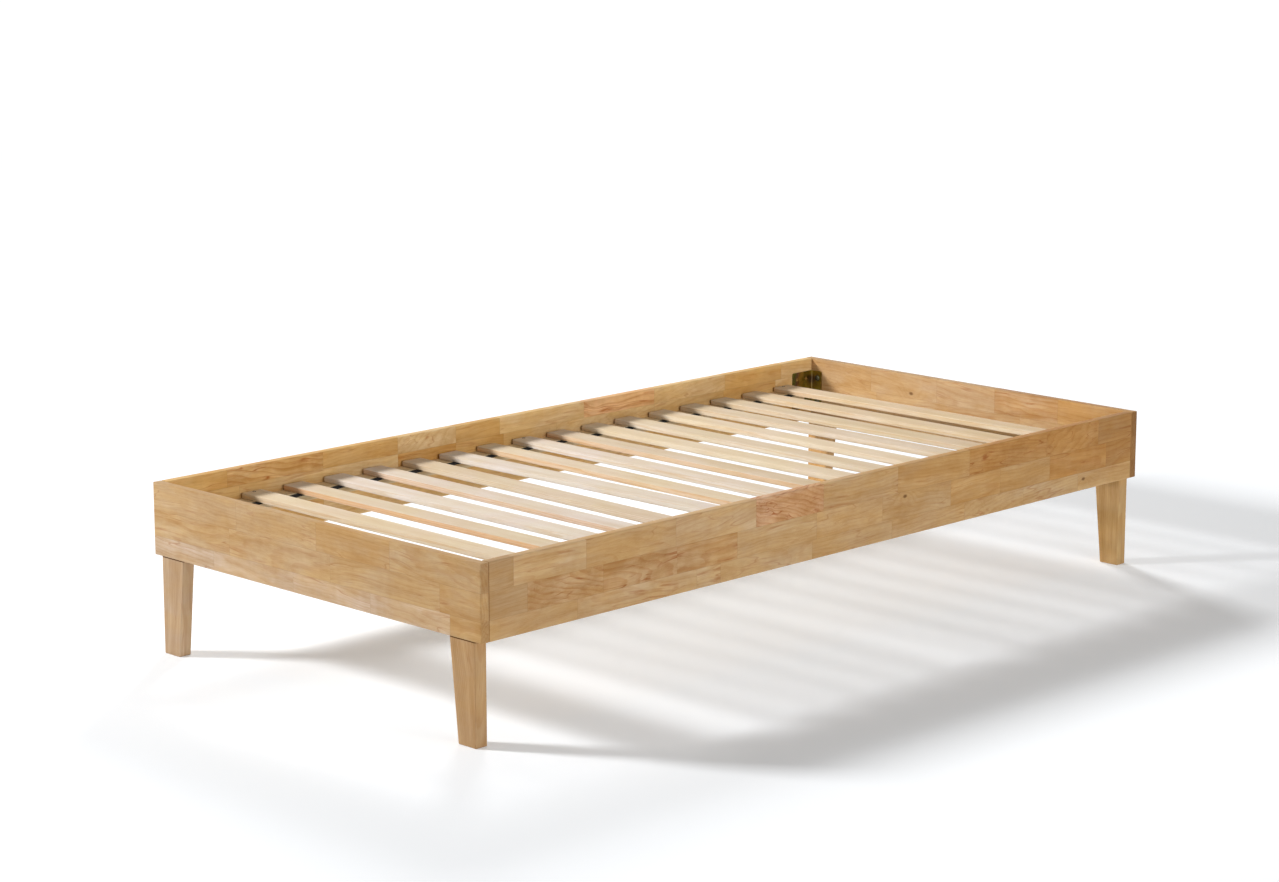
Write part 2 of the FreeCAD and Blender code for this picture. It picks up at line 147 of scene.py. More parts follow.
class Net:
    """A node tree that is filled by short calls."""

    def __init__(self, tree: bpy.types.NodeTree) -> None:
        """Empty the tree and keep it."""
        self.tree = tree
        tree.nodes.clear()

    def node(self, kind: str, settings: dict[str, Any], inputs: dict[Any, Any]) -> bpy.types.Node:
        """Add any node.

        Args:
            kind: The node's type name after ShaderNode.
            settings: Its settings, which are set first; stops are a colour ramp's (place, colour) pairs.
            inputs: Socket name or number to a Value or a constant.

        Returns:
            The new node.
        """
        node = self.tree.nodes.new("ShaderNode" + kind)
        for name, value in settings.items():
            if name == "stops":
                self._set_stops(node.color_ramp, value)
            else:
                setattr(node, name, value)
        for name, value in inputs.items():
            if isinstance(value, Value):
                self.tree.links.new(value.socket, node.inputs[name])
            else:
                node.inputs[name].default_value = value
        return node

    @staticmethod
    def _set_stops(ramp: bpy.types.ColorRamp, stops: Sequence[tuple[float, Colour]]) -> None:
        """Give a colour ramp its stops.

        Args:
            ramp: The ramp.
            stops: Places and colours.
        """
        while len(ramp.elements) < len(stops):
            ramp.elements.new(1.0)
        for element, (place, colour) in zip(ramp.elements, stops):
            element.position = place
            element.color = (*colour, 1.0)

    def out(self, node: bpy.types.Node, output: Union[str, int] = 0) -> Value:
        """One output of a node as a Value."""
        return Value(self, node.outputs[output])

    def math(self, operation: str, first: Term, second: Term = 0.0) -> Value:
        """A Math node."""
        return self.out(self.node("Math", {"operation": operation}, {0: first, 1: second}))

    def clamped(self, value: Value) -> Value:
        """A value held between 0 and 1."""
        return self.math("MAXIMUM", self.math("MINIMUM", value, 1.0), 0.0)

    def ramp(self, value: Value, span: Span, start: float = 0.0, end: float = 1.0) -> Value:
        """Carry a value smoothly from start to end as it crosses the span."""
        inputs = {"Value": value, "From Min": span[0], "From Max": span[1], "To Min": start, "To Max": end}
        return self.out(self.node("MapRange", {"interpolation_type": "SMOOTHSTEP"}, inputs))

    def vector(self, operation: str, inputs: dict[Any, Any], output: Union[str, int] = 0) -> Value:
        """A Vector Math node."""
        return self.out(self.node("VectorMath", {"operation": operation}, inputs), output)

    def stretch(self, vector: Value, scale: Point) -> Value:
        """A vector times a scale, axis by axis."""
        return self.vector("MULTIPLY", {0: vector, 1: scale})

    def length(self, vector: Value) -> Value:
        """How long a vector is."""
        return self.vector("LENGTH", {0: vector}, "Value")

    def shift(self, vector: Value, noise: Value, reach: Point, share: Value) -> Value:
        """Move a vector by a noise colour, which is taken about its middle.

        Args:
            vector: The vector.
            noise: The noise colour.
            reach: The width of the move on each axis.
            share: How much of it is used.

        Returns:
            The moved vector.
        """
        offset = tuple(-0.5 * value for value in reach)
        moved = self.vector("MULTIPLY_ADD", {0: noise, 1: reach, 2: offset})
        return self.vector("ADD", {0: vector, 1: self.vector("SCALE", {0: moved, "Scale": share})})

    def parts(self, vector: Value) -> tuple[Value, Value, Value]:
        """The three parts of a vector."""
        node = self.node("SeparateXYZ", {}, {"Vector": vector})
        return self.out(node, 0), self.out(node, 1), self.out(node, 2)

    def attribute(self, name: str, output: str = "Vector") -> Value:
        """A piece's own attribute."""
        return self.out(self.node("Attribute", {"attribute_name": name}, {}), output)

    def place(self) -> Value:
        """Object coordinates."""
        return self.out(self.node("TexCoord", {}, {}), "Object")

    def noise(
        self, vector: Value, scale: float, detail: float = 2.0, rough: float = 0.5, output: str = "Fac"
    ) -> Value:
        """Soft noise of 0 to 1 about 0.5."""
        inputs = {"Vector": vector, "Scale": scale, "Detail": detail, "Roughness": rough}
        return self.out(self.node("TexNoise", {}, inputs), output)

    def layer(self, vector: Value, layer: Layer, output: str = "Fac") -> Value:
        """One of the named noises."""
        scale, detail, rough = layer.value
        return self.noise(self.stretch(vector, scale), 1.0, detail, rough, output)

    def mix(self, factor: Term, first: Any, second: Any, blend: str = "MIX") -> Value:
        """Mix two colours.

        Args:
            factor: The share of the second.
            first: A Value or a plain colour.
            second: Another.
            blend: How they are mixed.

        Returns:
            The mixed colour.
        """
        low, high = ((*colour, 1.0) if isinstance(colour, tuple) else colour for colour in (first, second))
        settings = {"data_type": "RGBA", "blend_type": blend}
        return self.out(self.node("Mix", settings, {0: factor, 6: low, 7: high}), 2)

    def bump(self, height: Value, strength: float, distance: float) -> Value:
        """A bumped normal."""
        inputs = {"Height": height, "Strength": strength, "Distance": distance}
        return self.out(self.node("Bump", {}, inputs))

    def seen(self) -> Value:
        """Tell which rays show the background.

        Returns:
            1 for straight, mirrored and refracted rays.
        """
        path = self.node("LightPath", {}, {})
        straight = self.out(path, "Is Camera Ray") + self.out(path, "Is Glossy Ray")
        return self.math("MINIMUM", straight + self.out(path, "Is Transmission Ray"), 1.0)

    def surface(self, shader: bpy.types.Node, target: str = "Material") -> None:
        """Make a shader node the surface of a material, a world or a light."""
        self.node("Output" + target, {}, {"Surface": self.out(shader)})

    def principled(self, inputs: dict[str, Any]) -> None:
        """Make a Principled shader with these inputs the surface."""
        self.surface(self.node("BsdfPrincipled", {}, inputs))


# --- finishes ---
@dataclass(frozen=True)
class Finish:
    """A material by name, with the nodes that each kind of finish fills in."""

    name: str

    @cache
    def build(self) -> Material:
        """Make the material, once.

        Returns:
            The material.
        """
        material = bpy.data.materials.new(self.name)
        material.use_nodes = True
        self.fill(Net(material.node_tree))
        return material

    def fill(self, net: Net) -> None:
        """Add the nodes."""
        raise NotImplementedError


@dataclass(frozen=True)
class WoodFinish(Finish):
    """Wood whose grain follows a piece's own attributes.

    The attribute grain holds (along, across, through) in metres, measured from the heart of the tree that the
    stave was cut from, so that growth rings are circles about the first axis. tint is the stave's own colour,
    figure how strongly its rings and streaks show, edge is 1 on rounded edges, and end is 1 on sawn ends and, on
    the legs, on a painted shade line under the board. joint holds the distances to the stave's two ends and to the
    seam below, and knot the way from a knot and the distance to the seam above. Fields that end in by_figure are
    the gain and the base of a straight line.
    """

    ring_width: float
    ring_depth: float
    wander: float
    streak_depth: float
    deep: Colour
    bright: Colour
    late_wood: Colour
    streak_colour: Colour
    cool: Colour
    warm: Colour
    mottle: float = 1.0
    ripple: float = 0.0
    pore_depth: float = 0.2
    roughness: float = 0.6
    shine: float = 0.18
    end_colour: Colour = (0.5, 0.4, 0.3)
    knot_colour: Colour = (0.3, 0.2, 0.14)
    wander_by_figure: Span = (0.4, 0.7)
    soft_by_figure: Span = (0.9, 0.55)
    rings_by_figure: Span = (0.8, 0.2)
    streaks_by_figure: Span = (0.9, 0.35)
    ring_ripple: float = 0.6  # in ring widths
    knot_bend: float = 2.5  # in ring widths
    late_rise: Span = (0.35, 0.9)  # shares of a ring
    late_fall: Span = (0.92, 1.0)
    patch_span: Span = (0.44, 0.6)
    streak_span: Span = (0.56, 0.74)
    vein_span: Span = (0.0, 0.016)
    vein_depth: float = 0.8
    pore_span: Span = (0.6, 0.74)
    tone_span: Span = (0.36, 0.62)
    band_share: float = 1.5
    cloud_share: float = 1.2
    fibre_share: float = 0.8
    edge_light: float = 0.1
    end_dark: float = 0.5
    end_rings: float = 0.25
    glue_depth: float = 0.22
    glue_span: Span = (0.15 * MM, 0.7 * MM)
    knot_depth: float = 0.85
    knot_shape: Point = (0.6, 1.0, 0.0)
    knot_reach: Span = (0.0, 30 * MM)
    knot_core: Span = (1.8 * MM, 5.0 * MM)
    knot_scale: float = 400.0
    knot_rag: float = 2 * MM
    fibre_rough: float = 0.22
    pore_rough: float = 0.12
    edge_rough: float = 0.06
    end_rough: float = 0.12
    fibre_height: float = 0.5
    pore_height: float = 0.9
    late_height: float = 0.25
    relief: float = 0.35
    relief_depth: float = 0.12 * MM

    def fill(self, net: Net) -> None:
        """Add the nodes.

        The grain wanders: slow noise shifts it sideways before anything else reads it. Rings: the distance from
        the heart over the ring width; the part after the point is the place inside a ring, and its last third
        darkens as late wood does. Streaks: the top of a noise drawn out along the grain. Pores: short dashes.
        A slow noise carries the whole from a cooler to a warmer colour.

        Args:
            net: The material's net.
        """
        tint, straight = net.attribute("tint", "Color"), net.attribute("grain")
        figure, edge, end = (net.attribute(name, "Fac") for name in ("figure", "edge", "end"))
        drift = net.layer(straight, Layer.DRIFT, "Color")
        share = self._line(figure, self.wander_by_figure)
        grain = net.shift(straight, drift, (0.0, self.wander, self.wander), share)
        near, core = self._knot(net)

        reach = net.length(net.stretch(grain, (0.0, 1.0, 1.0)))
        quick = net.layer(grain, Layer.QUICK) - 0.5
        bent = reach + quick * (self.ring_ripple * self.ring_width) + near * (self.knot_bend * self.ring_width)
        turn = net.math("FRACT", bent / self.ring_width)
        late = net.ramp(turn, self.late_rise) * net.ramp(turn, self.late_fall, 1.0, 0.0)

        fibre = net.layer(grain, Layer.FIBRE) - 0.5
        band = net.layer(grain, Layer.BAND) - 0.5
        ripple = net.layer(grain, Layer.RIPPLE) - 0.5
        cloud = net.layer(straight, Layer.CLOUD)
        vein = net.math("ABSOLUTE", net.layer(grain, Layer.VEIN) - 0.5)
        patch = net.ramp(cloud, self.patch_span)
        vein = net.ramp(vein, self.vein_span, 1.0, 0.0) * patch * self.vein_depth
        streak = net.math("MAXIMUM", net.ramp(net.layer(grain, Layer.STREAK), self.streak_span) * patch, vein)
        pore = net.ramp(net.layer(grain, Layer.PORE), self.pore_span)

        soft = band * self.band_share + (cloud - 0.5) * self.cloud_share + ripple * self.ripple
        shade = 0.5 + soft * self._line(figure, self.soft_by_figure) * self.mottle
        shade = shade + fibre * (self.fibre_share * self.mottle)
        shade = shade - pore * self.pore_depth + edge * self.edge_light - end * self.end_dark
        body = net.mix(1.0, tint, net.mix(net.clamped(shade), self.deep, self.bright), "MULTIPLY")
        tone = net.ramp(net.layer(net.place(), Layer.TONE), self.tone_span)
        body = net.mix(1.0, body, net.mix(tone, self.cool, self.warm), "MULTIPLY")
        body = net.mix(end, body, net.mix(1.0, body, self.end_colour, "MULTIPLY"))
        rings = late * self._line(figure, self.rings_by_figure, self.ring_depth) + end * late * self.end_rings
        dark = net.mix(1.0, body, self.late_wood, "MULTIPLY")
        colour = net.mix(net.math("MINIMUM", rings, 1.0), body, dark)
        stained = net.mix(1.0, colour, self.streak_colour, "MULTIPLY")
        streaks = streak * self._line(figure, self.streaks_by_figure) * self.streak_depth
        colour = net.mix(streaks, colour, stained)
        marks = net.math("MAXIMUM", self._glue_line(net) * self.glue_depth, core * self.knot_depth)
        colour = net.mix(marks, colour, net.mix(1.0, tint, self.knot_colour, "MULTIPLY"))

        rough = fibre * self.fibre_rough + pore * self.pore_rough - edge * self.edge_rough + end * self.end_rough
        height = fibre * self.fibre_height - pore * self.pore_height - late * self.late_height
        net.principled(
            {
                "Base Color": colour,
                "Roughness": rough + self.roughness,
                "Normal": net.bump(height, self.relief, self.relief_depth),
                "Specular IOR Level": self.shine,
            }
        )

    @staticmethod
    def _line(value: Value, line: Span, scale: float = 1.0) -> Value:
        """A value times a gain, plus a base, both times a scale."""
        return value * (line[0] * scale) + line[1] * scale

    def _knot(self, net: Net) -> tuple[Value, Value]:
        """How near a knot is, as 1 at its middle to 0 a few widths away, and its dark core.

        Args:
            net: The material's net.

        Returns:
            Both masks.
        """
        away = net.stretch(net.attribute("knot"), self.knot_shape)
        reach = net.length(away)
        ragged = reach + (net.noise(away, self.knot_scale) - 0.5) * self.knot_rag
        return net.ramp(reach, self.knot_reach, 1.0, 0.0), net.ramp(ragged, self.knot_core, 1.0, 0.0)

    def _glue_line(self, net: Net) -> Value:
        """A hairline where staves or strips meet.

        Args:
            net: The material's net.

        Returns:
            1 on the line.
        """
        start, stop, below = net.parts(net.attribute("joint"))
        above = net.parts(net.attribute("knot"))[2]
        least = net.math("MINIMUM", net.math("MINIMUM", start, stop), net.math("MINIMUM", below, above))
        return net.ramp(least, self.glue_span, 1.0, 0.0)


@dataclass(frozen=True)
class MetalFinish(Finish):
    """Two colours in clouds, with fine draw lines and spots of dulled plating."""

    light: Colour
    dark: Colour
    roughness: float
    cloud_scale: float = 45.0
    metallic: float = 1.0
    cloud_detail: float = 4.0
    cloud_rough: float = 0.6
    cloud_span: Span = (0.35, 0.65)
    spot_scale: float = 420.0
    spot_span: Span = (0.58, 0.72)
    spot_dark: float = 0.35
    spot_rough: float = 0.18
    spot_height: float = 0.5
    line_rough: float = 0.2
    relief: float = 0.25
    relief_depth: float = 0.03 * MM

    def fill(self, net: Net) -> None:
        """Add the nodes.

        Args:
            net: The material's net.
        """
        place = net.place()
        cloud = net.noise(place, self.cloud_scale, self.cloud_detail, self.cloud_rough)
        lines = net.layer(place, Layer.DRAW_LINE)
        spots = net.ramp(net.noise(place, self.spot_scale), self.spot_span)
        colour = net.mix(net.ramp(cloud, self.cloud_span), self.light, self.dark)
        net.principled(
            {
                "Base Color": net.mix(spots * self.spot_dark, colour, self.dark),
                "Roughness": self.roughness + (lines - 0.5) * self.line_rough + spots * self.spot_rough,
                "Metallic": self.metallic,
                "Normal": net.bump(lines + spots * self.spot_height, self.relief, self.relief_depth),
            }
        )


@dataclass(frozen=True)
class ChromateFinish(Finish):
    """Yellow chromate on zinc: clouds that run from straw through rose and violet to green."""

    stops: tuple[tuple[float, Colour], ...] = (
        (0.28, paint(112, 104, 44)),
        (0.42, paint(168, 150, 76)),
        (0.50, paint(146, 122, 72)),
        (0.57, paint(116, 98, 86)),
        (0.64, paint(96, 116, 66)),
        (0.76, paint(150, 142, 74)),
    )
    cloud: tuple[float, float, float] = (17.0, 2.0, 0.45)  # scale, detail and roughness
    fleck: tuple[float, float, float] = (90.0, 3.0, 0.6)
    fleck_share: float = 0.12
    scuff_span: Span = (0.6, 0.75)
    scuff_share: float = 0.3
    scuff_colour: Colour = paint(190, 184, 160)
    scuff_rough: float = 0.2
    roughness: float = 0.32
    relief: float = 0.2
    relief_depth: float = 0.03 * MM

    def fill(self, net: Net) -> None:
        """Add the nodes.

        Args:
            net: The material's net.
        """
        place = net.place()
        cloud = net.noise(place, *self.cloud) + (net.noise(place, *self.fleck) - 0.5) * self.fleck_share
        colour = net.out(net.node("ValToRGB", {"stops": self.stops}, {"Fac": cloud}))
        scuff = net.ramp(net.layer(place, Layer.SCUFF), self.scuff_span)
        net.principled(
            {
                "Base Color": net.mix(scuff * self.scuff_share, colour, self.scuff_colour),
                "Roughness": scuff * self.scuff_rough + self.roughness,
                "Metallic": 1.0,
                "Normal": net.bump(scuff, self.relief, self.relief_depth),
            }
        )


@dataclass(frozen=True)
class WebbingFinish(Finish):
    """Black woven tape: ribs across it, two warp threads to a rib, and a little lint."""

    rib: float = 1.5 * MM
    warp: float = 1.1 * MM
    gap_colour: Colour = paint(12, 12, 13)
    thread_colour: Colour = paint(30, 30, 32)
    lint_colour: Colour = paint(70, 68, 66)
    lint: tuple[float, float, float] = (900.0, 3.0, 0.7)  # scale, detail and roughness
    lint_span: Span = (0.6, 0.8)
    lint_share: float = 0.3
    lint_height: float = 0.2
    roughness: float = 0.92
    thread_gloss: float = 0.18
    relief: float = 0.7
    relief_depth: float = 0.25 * MM
    shine: float = 0.25

    def fill(self, net: Net) -> None:
        """Add the nodes.

        The weave is a basket: the sine along the tape times the sine across it, without its sign.

        Args:
            net: The material's net.
        """
        weave = net.attribute("grain")
        along, across, _ = net.parts(weave)
        ribs = net.math("SINE", along * (math.pi / self.rib))
        thread = net.math("ABSOLUTE", ribs * net.math("SINE", across * (math.pi / self.warp)))
        lint = net.ramp(net.noise(weave, *self.lint), self.lint_span)
        colour = net.mix(thread, self.gap_colour, self.thread_colour)
        net.principled(
            {
                "Base Color": net.mix(lint * self.lint_share, colour, self.lint_colour),
                "Roughness": self.roughness - thread * self.thread_gloss,
                "Normal": net.bump(thread + lint * self.lint_height, self.relief, self.relief_depth),
                "Specular IOR Level": self.shine,
            }
        )


LAMINATE = WoodFinish(
    name="oiled_laminated_board",
    ring_width=7.0 * MM,
    ring_depth=0.4,
    wander=34 * MM,
    streak_depth=0.8,
    ripple=0.4,
    deep=(0.83, 0.74, 0.60),
    bright=(1.15, 1.23, 1.35),
    late_wood=(0.78, 0.56, 0.38),
    streak_colour=(0.66, 0.40, 0.26),
    cool=(1.0, 1.02, 1.10),
    warm=(1.02, 0.98, 0.88),
)
LEG_WOOD = WoodFinish(
    name="oiled_leg_wood",
    ring_width=5.0 * MM,
    ring_depth=0.45,
    wander=10 * MM,
    streak_depth=0.6,
    mottle=0.9,
    deep=(0.84, 0.77, 0.68),
    bright=(1.15, 1.22, 1.34),
    late_wood=(0.76, 0.60, 0.46),
    streak_colour=(0.72, 0.54, 0.40),
    cool=(1.0, 1.01, 1.05),
    warm=(1.01, 0.98, 0.9),
    # end_colour darkens the legs' end grain and also paints the shade line under the board
    end_colour=(0.25, 0.18, 0.13),
)
PINE = WoodFinish(
    name="planed_pine",
    ring_width=3.6 * MM,
    ring_depth=0.75,
    wander=5 * MM,
    streak_depth=0.25,
    deep=(0.92, 0.87, 0.80),
    bright=(1.06, 1.11, 1.20),
    late_wood=(0.84, 0.66, 0.46),
    streak_colour=(0.86, 0.72, 0.55),
    pore_depth=0.03,
    roughness=0.7,
    shine=0.12,
    cool=(1.01, 1.0, 1.03),
    warm=(1.0, 0.99, 0.94),
)
WEBBING = WebbingFinish("black_webbing")
BRACKET_CHROMATE = ChromateFinish("yellow_chromate")
BOLT_ZINC = MetalFinish("dull_zinc", paint(112, 112, 88), paint(84, 78, 62), 0.46)
SCREW_CHROMATE = MetalFinish("chromated_screw", paint(186, 160, 92), paint(150, 118, 74), 0.34, 160.0)
SCREW_BLACK = MetalFinish("black_phosphate", paint(46, 44, 42), paint(30, 29, 28), 0.5, 160.0)
STAPLE_WIRE = MetalFinish("staple_wire", paint(188, 186, 180), paint(150, 148, 144), 0.32, 160.0)
DOWEL_WOOD = MetalFinish("plain_beech", paint(205, 172, 128), paint(182, 146, 104), 0.6, 120.0, 0.0)


# --- meshes ---
def box(node: str) -> tuple[Array, Array]:
    """The lowest and the highest corner of a solid."""
    low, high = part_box(node)
    return np.array(low), np.array(high)


def grid_faces(rows: int, columns: int, closed: bool) -> Array:
    """Faces between rows of points.

    Args:
        rows: How many rows there are.
        columns: How many points a row has.
        closed: Whether each row is a ring.

    Returns:
        Point numbers as (face, 4).
    """
    row, column = np.meshgrid(np.arange(rows - 1), np.arange(columns - (not closed)), indexing="ij")
    near, far, after = row * columns, (row + 1) * columns, (column + 1) % columns
    corners = (near + column, near + after, far + after, far + column)
    return np.stack([corner.ravel() for corner in corners], 1)


def tube_faces(rows: int, columns: int) -> Faces:
    """Faces of a closed tube: ring by ring, then its first and its last end."""
    ends = [tuple(range(columns - 1, -1, -1)), tuple(range((rows - 1) * columns, rows * columns))]
    return list(map(tuple, grid_faces(rows, columns, True).tolist())) + ends


def tube_points(line: Array, normal: Array, side: Point, width: Array, height: Array) -> Array:
    """Points of a tube: each place of its line, plus the ring's widths sideways and its heights along the normal."""
    return (line[:, None] + np.outer(width, side)[None] + normal[:, None] * height[None, :, None]).reshape(-1, 3)


def repeated(faces: Faces, step: int, count: int) -> Faces:
    """The same faces for each of count copies whose points lie step numbers apart."""
    return [tuple(corner + number * step for corner in face) for number in range(count) for face in faces]


def new_object(name: str, points: Array, faces: Faces, finish: Finish) -> Thing:
    """Add a smooth mesh to the scene.

    Args:
        name: The object's name.
        points: Its points.
        faces: Its faces.
        finish: Its finish.

    Returns:
        The object.
    """
    mesh = bpy.data.meshes.new(name)
    mesh.from_pydata(points.tolist(), [], faces)
    mesh.polygons.foreach_set("use_smooth", np.ones(len(faces), bool))
    mesh.materials.append(finish.build())
    mesh.update()
    thing = bpy.data.objects.new(name, mesh)
    bpy.context.scene.collection.objects.link(thing)
    return thing


@dataclass
class Skin:
    """Points and faces of a piece, with the attributes that its finish reads."""

    points: Array
    faces: Faces
    values: dict[str, Array] = field(default_factory=dict)

    def piece(self, name: str, finish: Finish, slot: str, *nodes: str) -> Thing:
        """Make the object, dress it and let it ride on the bed.

        Args:
            name: The object's name.
            finish: Its finish.
            slot: The record's material slot; not used.
            nodes: The solids that it stands for.

        Returns:
            The object.
        """
        thing = new_object(name, self.points, self.faces, finish)
        for key, values in self.values.items():
            self._store(thing.data, key, values)
        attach(thing, BODY)
        if nodes:
            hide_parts(*nodes)
        return thing

    @staticmethod
    def _store(mesh: bpy.types.Mesh, key: str, values: Array) -> None:
        """Write one attribute: numbers, vectors of three or colours of four.

        Args:
            mesh: The piece's mesh.
            key: The attribute's name.
            values: Its values, one for each face, point or corner of a face.
        """
        domains = {"tint": "FACE", "figure": "FACE", "edge": "POINT", "end": "POINT"}
        kinds = {1: ("FLOAT", "value"), 3: ("FLOAT_VECTOR", "vector"), 4: ("FLOAT_COLOR", "color")}
        kind, slot = kinds[values[0].size]
        attribute = mesh.attributes.new(key, kind, domains.get(key, "CORNER"))
        attribute.data.foreach_set(slot, np.ascontiguousarray(values, np.float32).ravel())


@dataclass(frozen=True)
class Axes:
    """Directions of a bar: along its grain, across its broad face, and through its thickness."""

    along: Point
    across: Point
    through: Point

    def place(self, local: Array, origin: Array) -> Array:
        """Turn (along, across, through) points into places in the bed's frame."""
        return local @ np.array([self.along, self.across, self.through]) + origin


@dataclass
class Stave:
    """What one stave of wood looks like: colour, place in the tree, strength of figure, ends, seams and knot.

    lean is how far the heart moves across and through the stave for each metre along it.
    """

    tint: Colour
    heart: Span
    lean: Span
    shift: float
    figure: float
    span: Span = (-FAR, FAR)
    rows: Span = (-FAR, FAR)
    knot: Span = (FAR, FAR)


def first_stave(along: Array, across: Array) -> Array:
    """Stave 0 everywhere, for a bar of one piece."""
    return np.zeros(len(along))


@dataclass
class Bar:
    """A straight bar of wood with rounded edges and ends.

    Every point is a core point, held inside the bar by the edge radius, plus the radius times an outward
    direction. Towards an end the radius is taken times the sine of an angle that falls from 90 degrees, while
    the ring moves out by the cosine, which rounds the end's edges as well. Guards are lines close to the edges
    that keep the broad faces flat.
    """

    length: Span
    width: Span
    depth: Span
    radius: float
    cuts_along: Sequence[float] = ()
    cuts_across: Sequence[float] = ()
    corner_steps: int = 5
    end_steps: int = 4
    end_angle: float = math.radians(16)
    side_guard: float = 2.5  # in radii
    side_guard_share: float = 0.2  # of the width, at most
    end_guard: float = 3.0  # in radii
    least_step: float = 0.01 * MM
    cap_share: float = 0.999  # of the length, where an end face looks for its stave

    def section(self) -> tuple[Array, Array, Array]:
        """The ring of a cross-section.

        Returns:
            Core points, outward directions, and 1 where the ring is on a rounded edge.
        """
        low_v, high_v = self.width[0] + self.radius, self.width[1] - self.radius
        low_w, high_w = self.depth[0] + self.radius, self.depth[1] - self.radius
        guard = min(self.side_guard * self.radius, self.side_guard_share * (high_v - low_v))
        inner = np.array(sorted({low_v + guard, high_v - guard, *self.cuts_across}))
        inner = inner[(inner > low_v) & (inner < high_v)]
        quarter = np.linspace(0.0, RIGHT_ANGLE, self.corner_steps)
        parts = []
        corners = (
            (high_v, low_w, -1, ()),
            (high_v, high_w, 0, inner[::-1]),
            (low_v, high_w, 1, ()),
            (low_v, low_w, 2, inner),
        )
        for v, w, turns, run in corners:
            angle = quarter + turns * RIGHT_ANGLE
            parts.append(np.column_stack(np.broadcast_arrays(v, w, np.cos(angle), np.sin(angle), 1.0)))
            parts.append(np.column_stack(np.broadcast_arrays(run, w, 0.0, 1.0 - turns, 0.0)))
        ring = np.vstack(parts)
        return ring[:, :2], ring[:, 2:4], ring[:, 4]

    def stations(self) -> tuple[Array, Array]:
        """Places along the bar.

        Returns:
            The places, and the share of the edge radius that each ring keeps.
        """
        start, end = self.length
        angle = np.linspace(self.end_angle, RIGHT_ANGLE, self.end_steps + 1)
        inset = self.radius * (math.cos(self.end_angle) - np.cos(angle))
        guard, edge = self.end_guard * self.radius, inset[-1] + self.least_step
        middle = np.array(sorted({start + guard, end - guard, *self.cuts_along}))
        middle = middle[(middle > start + edge) & (middle < end - edge)]
        places = np.concatenate([start + inset, middle, (end - inset)[::-1]])
        share = np.concatenate([np.sin(angle), np.ones_like(middle), np.sin(angle)[::-1]])
        return places, share

    def skin(
        self,
        axes: Axes,
        origin: Array,
        staves: Sequence[Stave],
        stave_at: Callable[[Array, Array], Array] = first_stave,
        bend: Optional[Callable[[Array], Array]] = None,
    ) -> Skin:
        """Cover the bar, and give each face the grain of the stave that it lies in.

        Args:
            axes: The bar's directions.
            origin: Where its local zero is.
            staves: The staves by number.
            stave_at: Number of the stave at (along, across) face centres.
            bend: A change of shape in local points, applied last.

        Returns:
            The skin with every attribute that a wood finish reads.
        """
        core, out, round_edge = self.section()
        places, share = self.stations()
        rows, columns = len(places), len(core)
        ring = core[None] + self.radius * share[:, None, None] * out[None]
        along = np.broadcast_to(places[:, None, None], (rows, columns, 1))
        flat = np.concatenate([along, ring], 2).reshape(-1, 3)
        faces = tube_faces(rows, columns)
        corner = np.fromiter(chain.from_iterable(faces), int)

        centre = flat[np.array(faces[:-2])].mean(1)[:, :2]
        caps = np.column_stack([np.array(self.length) * self.cap_share, [0.5 * sum(self.width)] * 2])
        number = np.concatenate([stave_at(*group.T) for group in (centre, caps)]).astype(int)
        owner = np.repeat(number, [len(face) for face in faces])

        def read(key: str, numbers: Array = owner) -> Array:
            """One field of the staves with these numbers."""
            return np.array([getattr(stave, key) for stave in staves])[numbers]

        grain = flat[corner]
        u, v, _ = grain.copy().T
        grain[:, 1:] += read("lean") * grain[:, :1] - read("heart")
        grain[:, 0] += read("shift")
        span, seams, knot = (read(key).T for key in ("span", "rows", "knot"))
        values = {
            "tint": np.column_stack([read("tint", number), np.ones(len(number))]),
            "figure": read("figure", number),
            "edge": np.tile(round_edge, rows),
            "end": np.repeat((1 - share) / (1 - share.min()), columns),
            "grain": grain,
            "joint": np.column_stack([u - span[0], span[1] - u, v - seams[0]]),
            "knot": np.column_stack([u - knot[0], v - knot[1], seams[1] - v]),
        }
        return Skin(axes.place(bend(flat) if bend else flat, origin), faces, values)


# --- boards ---
class StaveTone(Enum):
    """Oiled rubberwood staves: their colour, and how strongly rings and streaks show in them. CORNER_SHADE is
    painted shade, a darker tone for the front rail's near end.
    """

    SILVER = (paint(200, 172, 140), 0.5)
    PALE = (paint(193, 160, 117), 0.5)
    HONEY = (paint(190, 154, 107), 0.4)
    GOLD = (paint(187, 147, 95), 0.5)
    RUSSET = (paint(182, 136, 80), 0.7)
    UMBER = (paint(170, 127, 76), 0.6)
    # painted shade: a darker tone that stands for the shade at the front rail's near end
    CORNER_SHADE = (paint(176, 141, 97), 0.3)
    STREAKED = (paint(188, 150, 104), 1.2)
    CHERRY = (paint(194, 151, 110), 1.6)


SILVER, PALE, HONEY, GOLD, RUSSET, UMBER, CORNER_SHADE, STREAKED, CHERRY = StaveTone


@dataclass(frozen=True)
class Strip:
    """One glued strip of a board: where its staves meet, and each stave's tone."""

    joints: tuple[float, ...]
    tones: tuple[StaveTone, ...]


@dataclass(frozen=True)
class Panel:
    """What a glued board looks like: strips from the bottom up, seams, a painted light gain on its colours, and how
    dark its ends are.
    """

    strips: tuple[Strip, ...]
    seams: Span = (239.5 * MM, 293.0 * MM)
    # painted light: a gain on the whole board's colours that stands for more or less light on it
    cast: Colour = (1.0, 1.0, 1.0)
    end_shade: float = 1.0


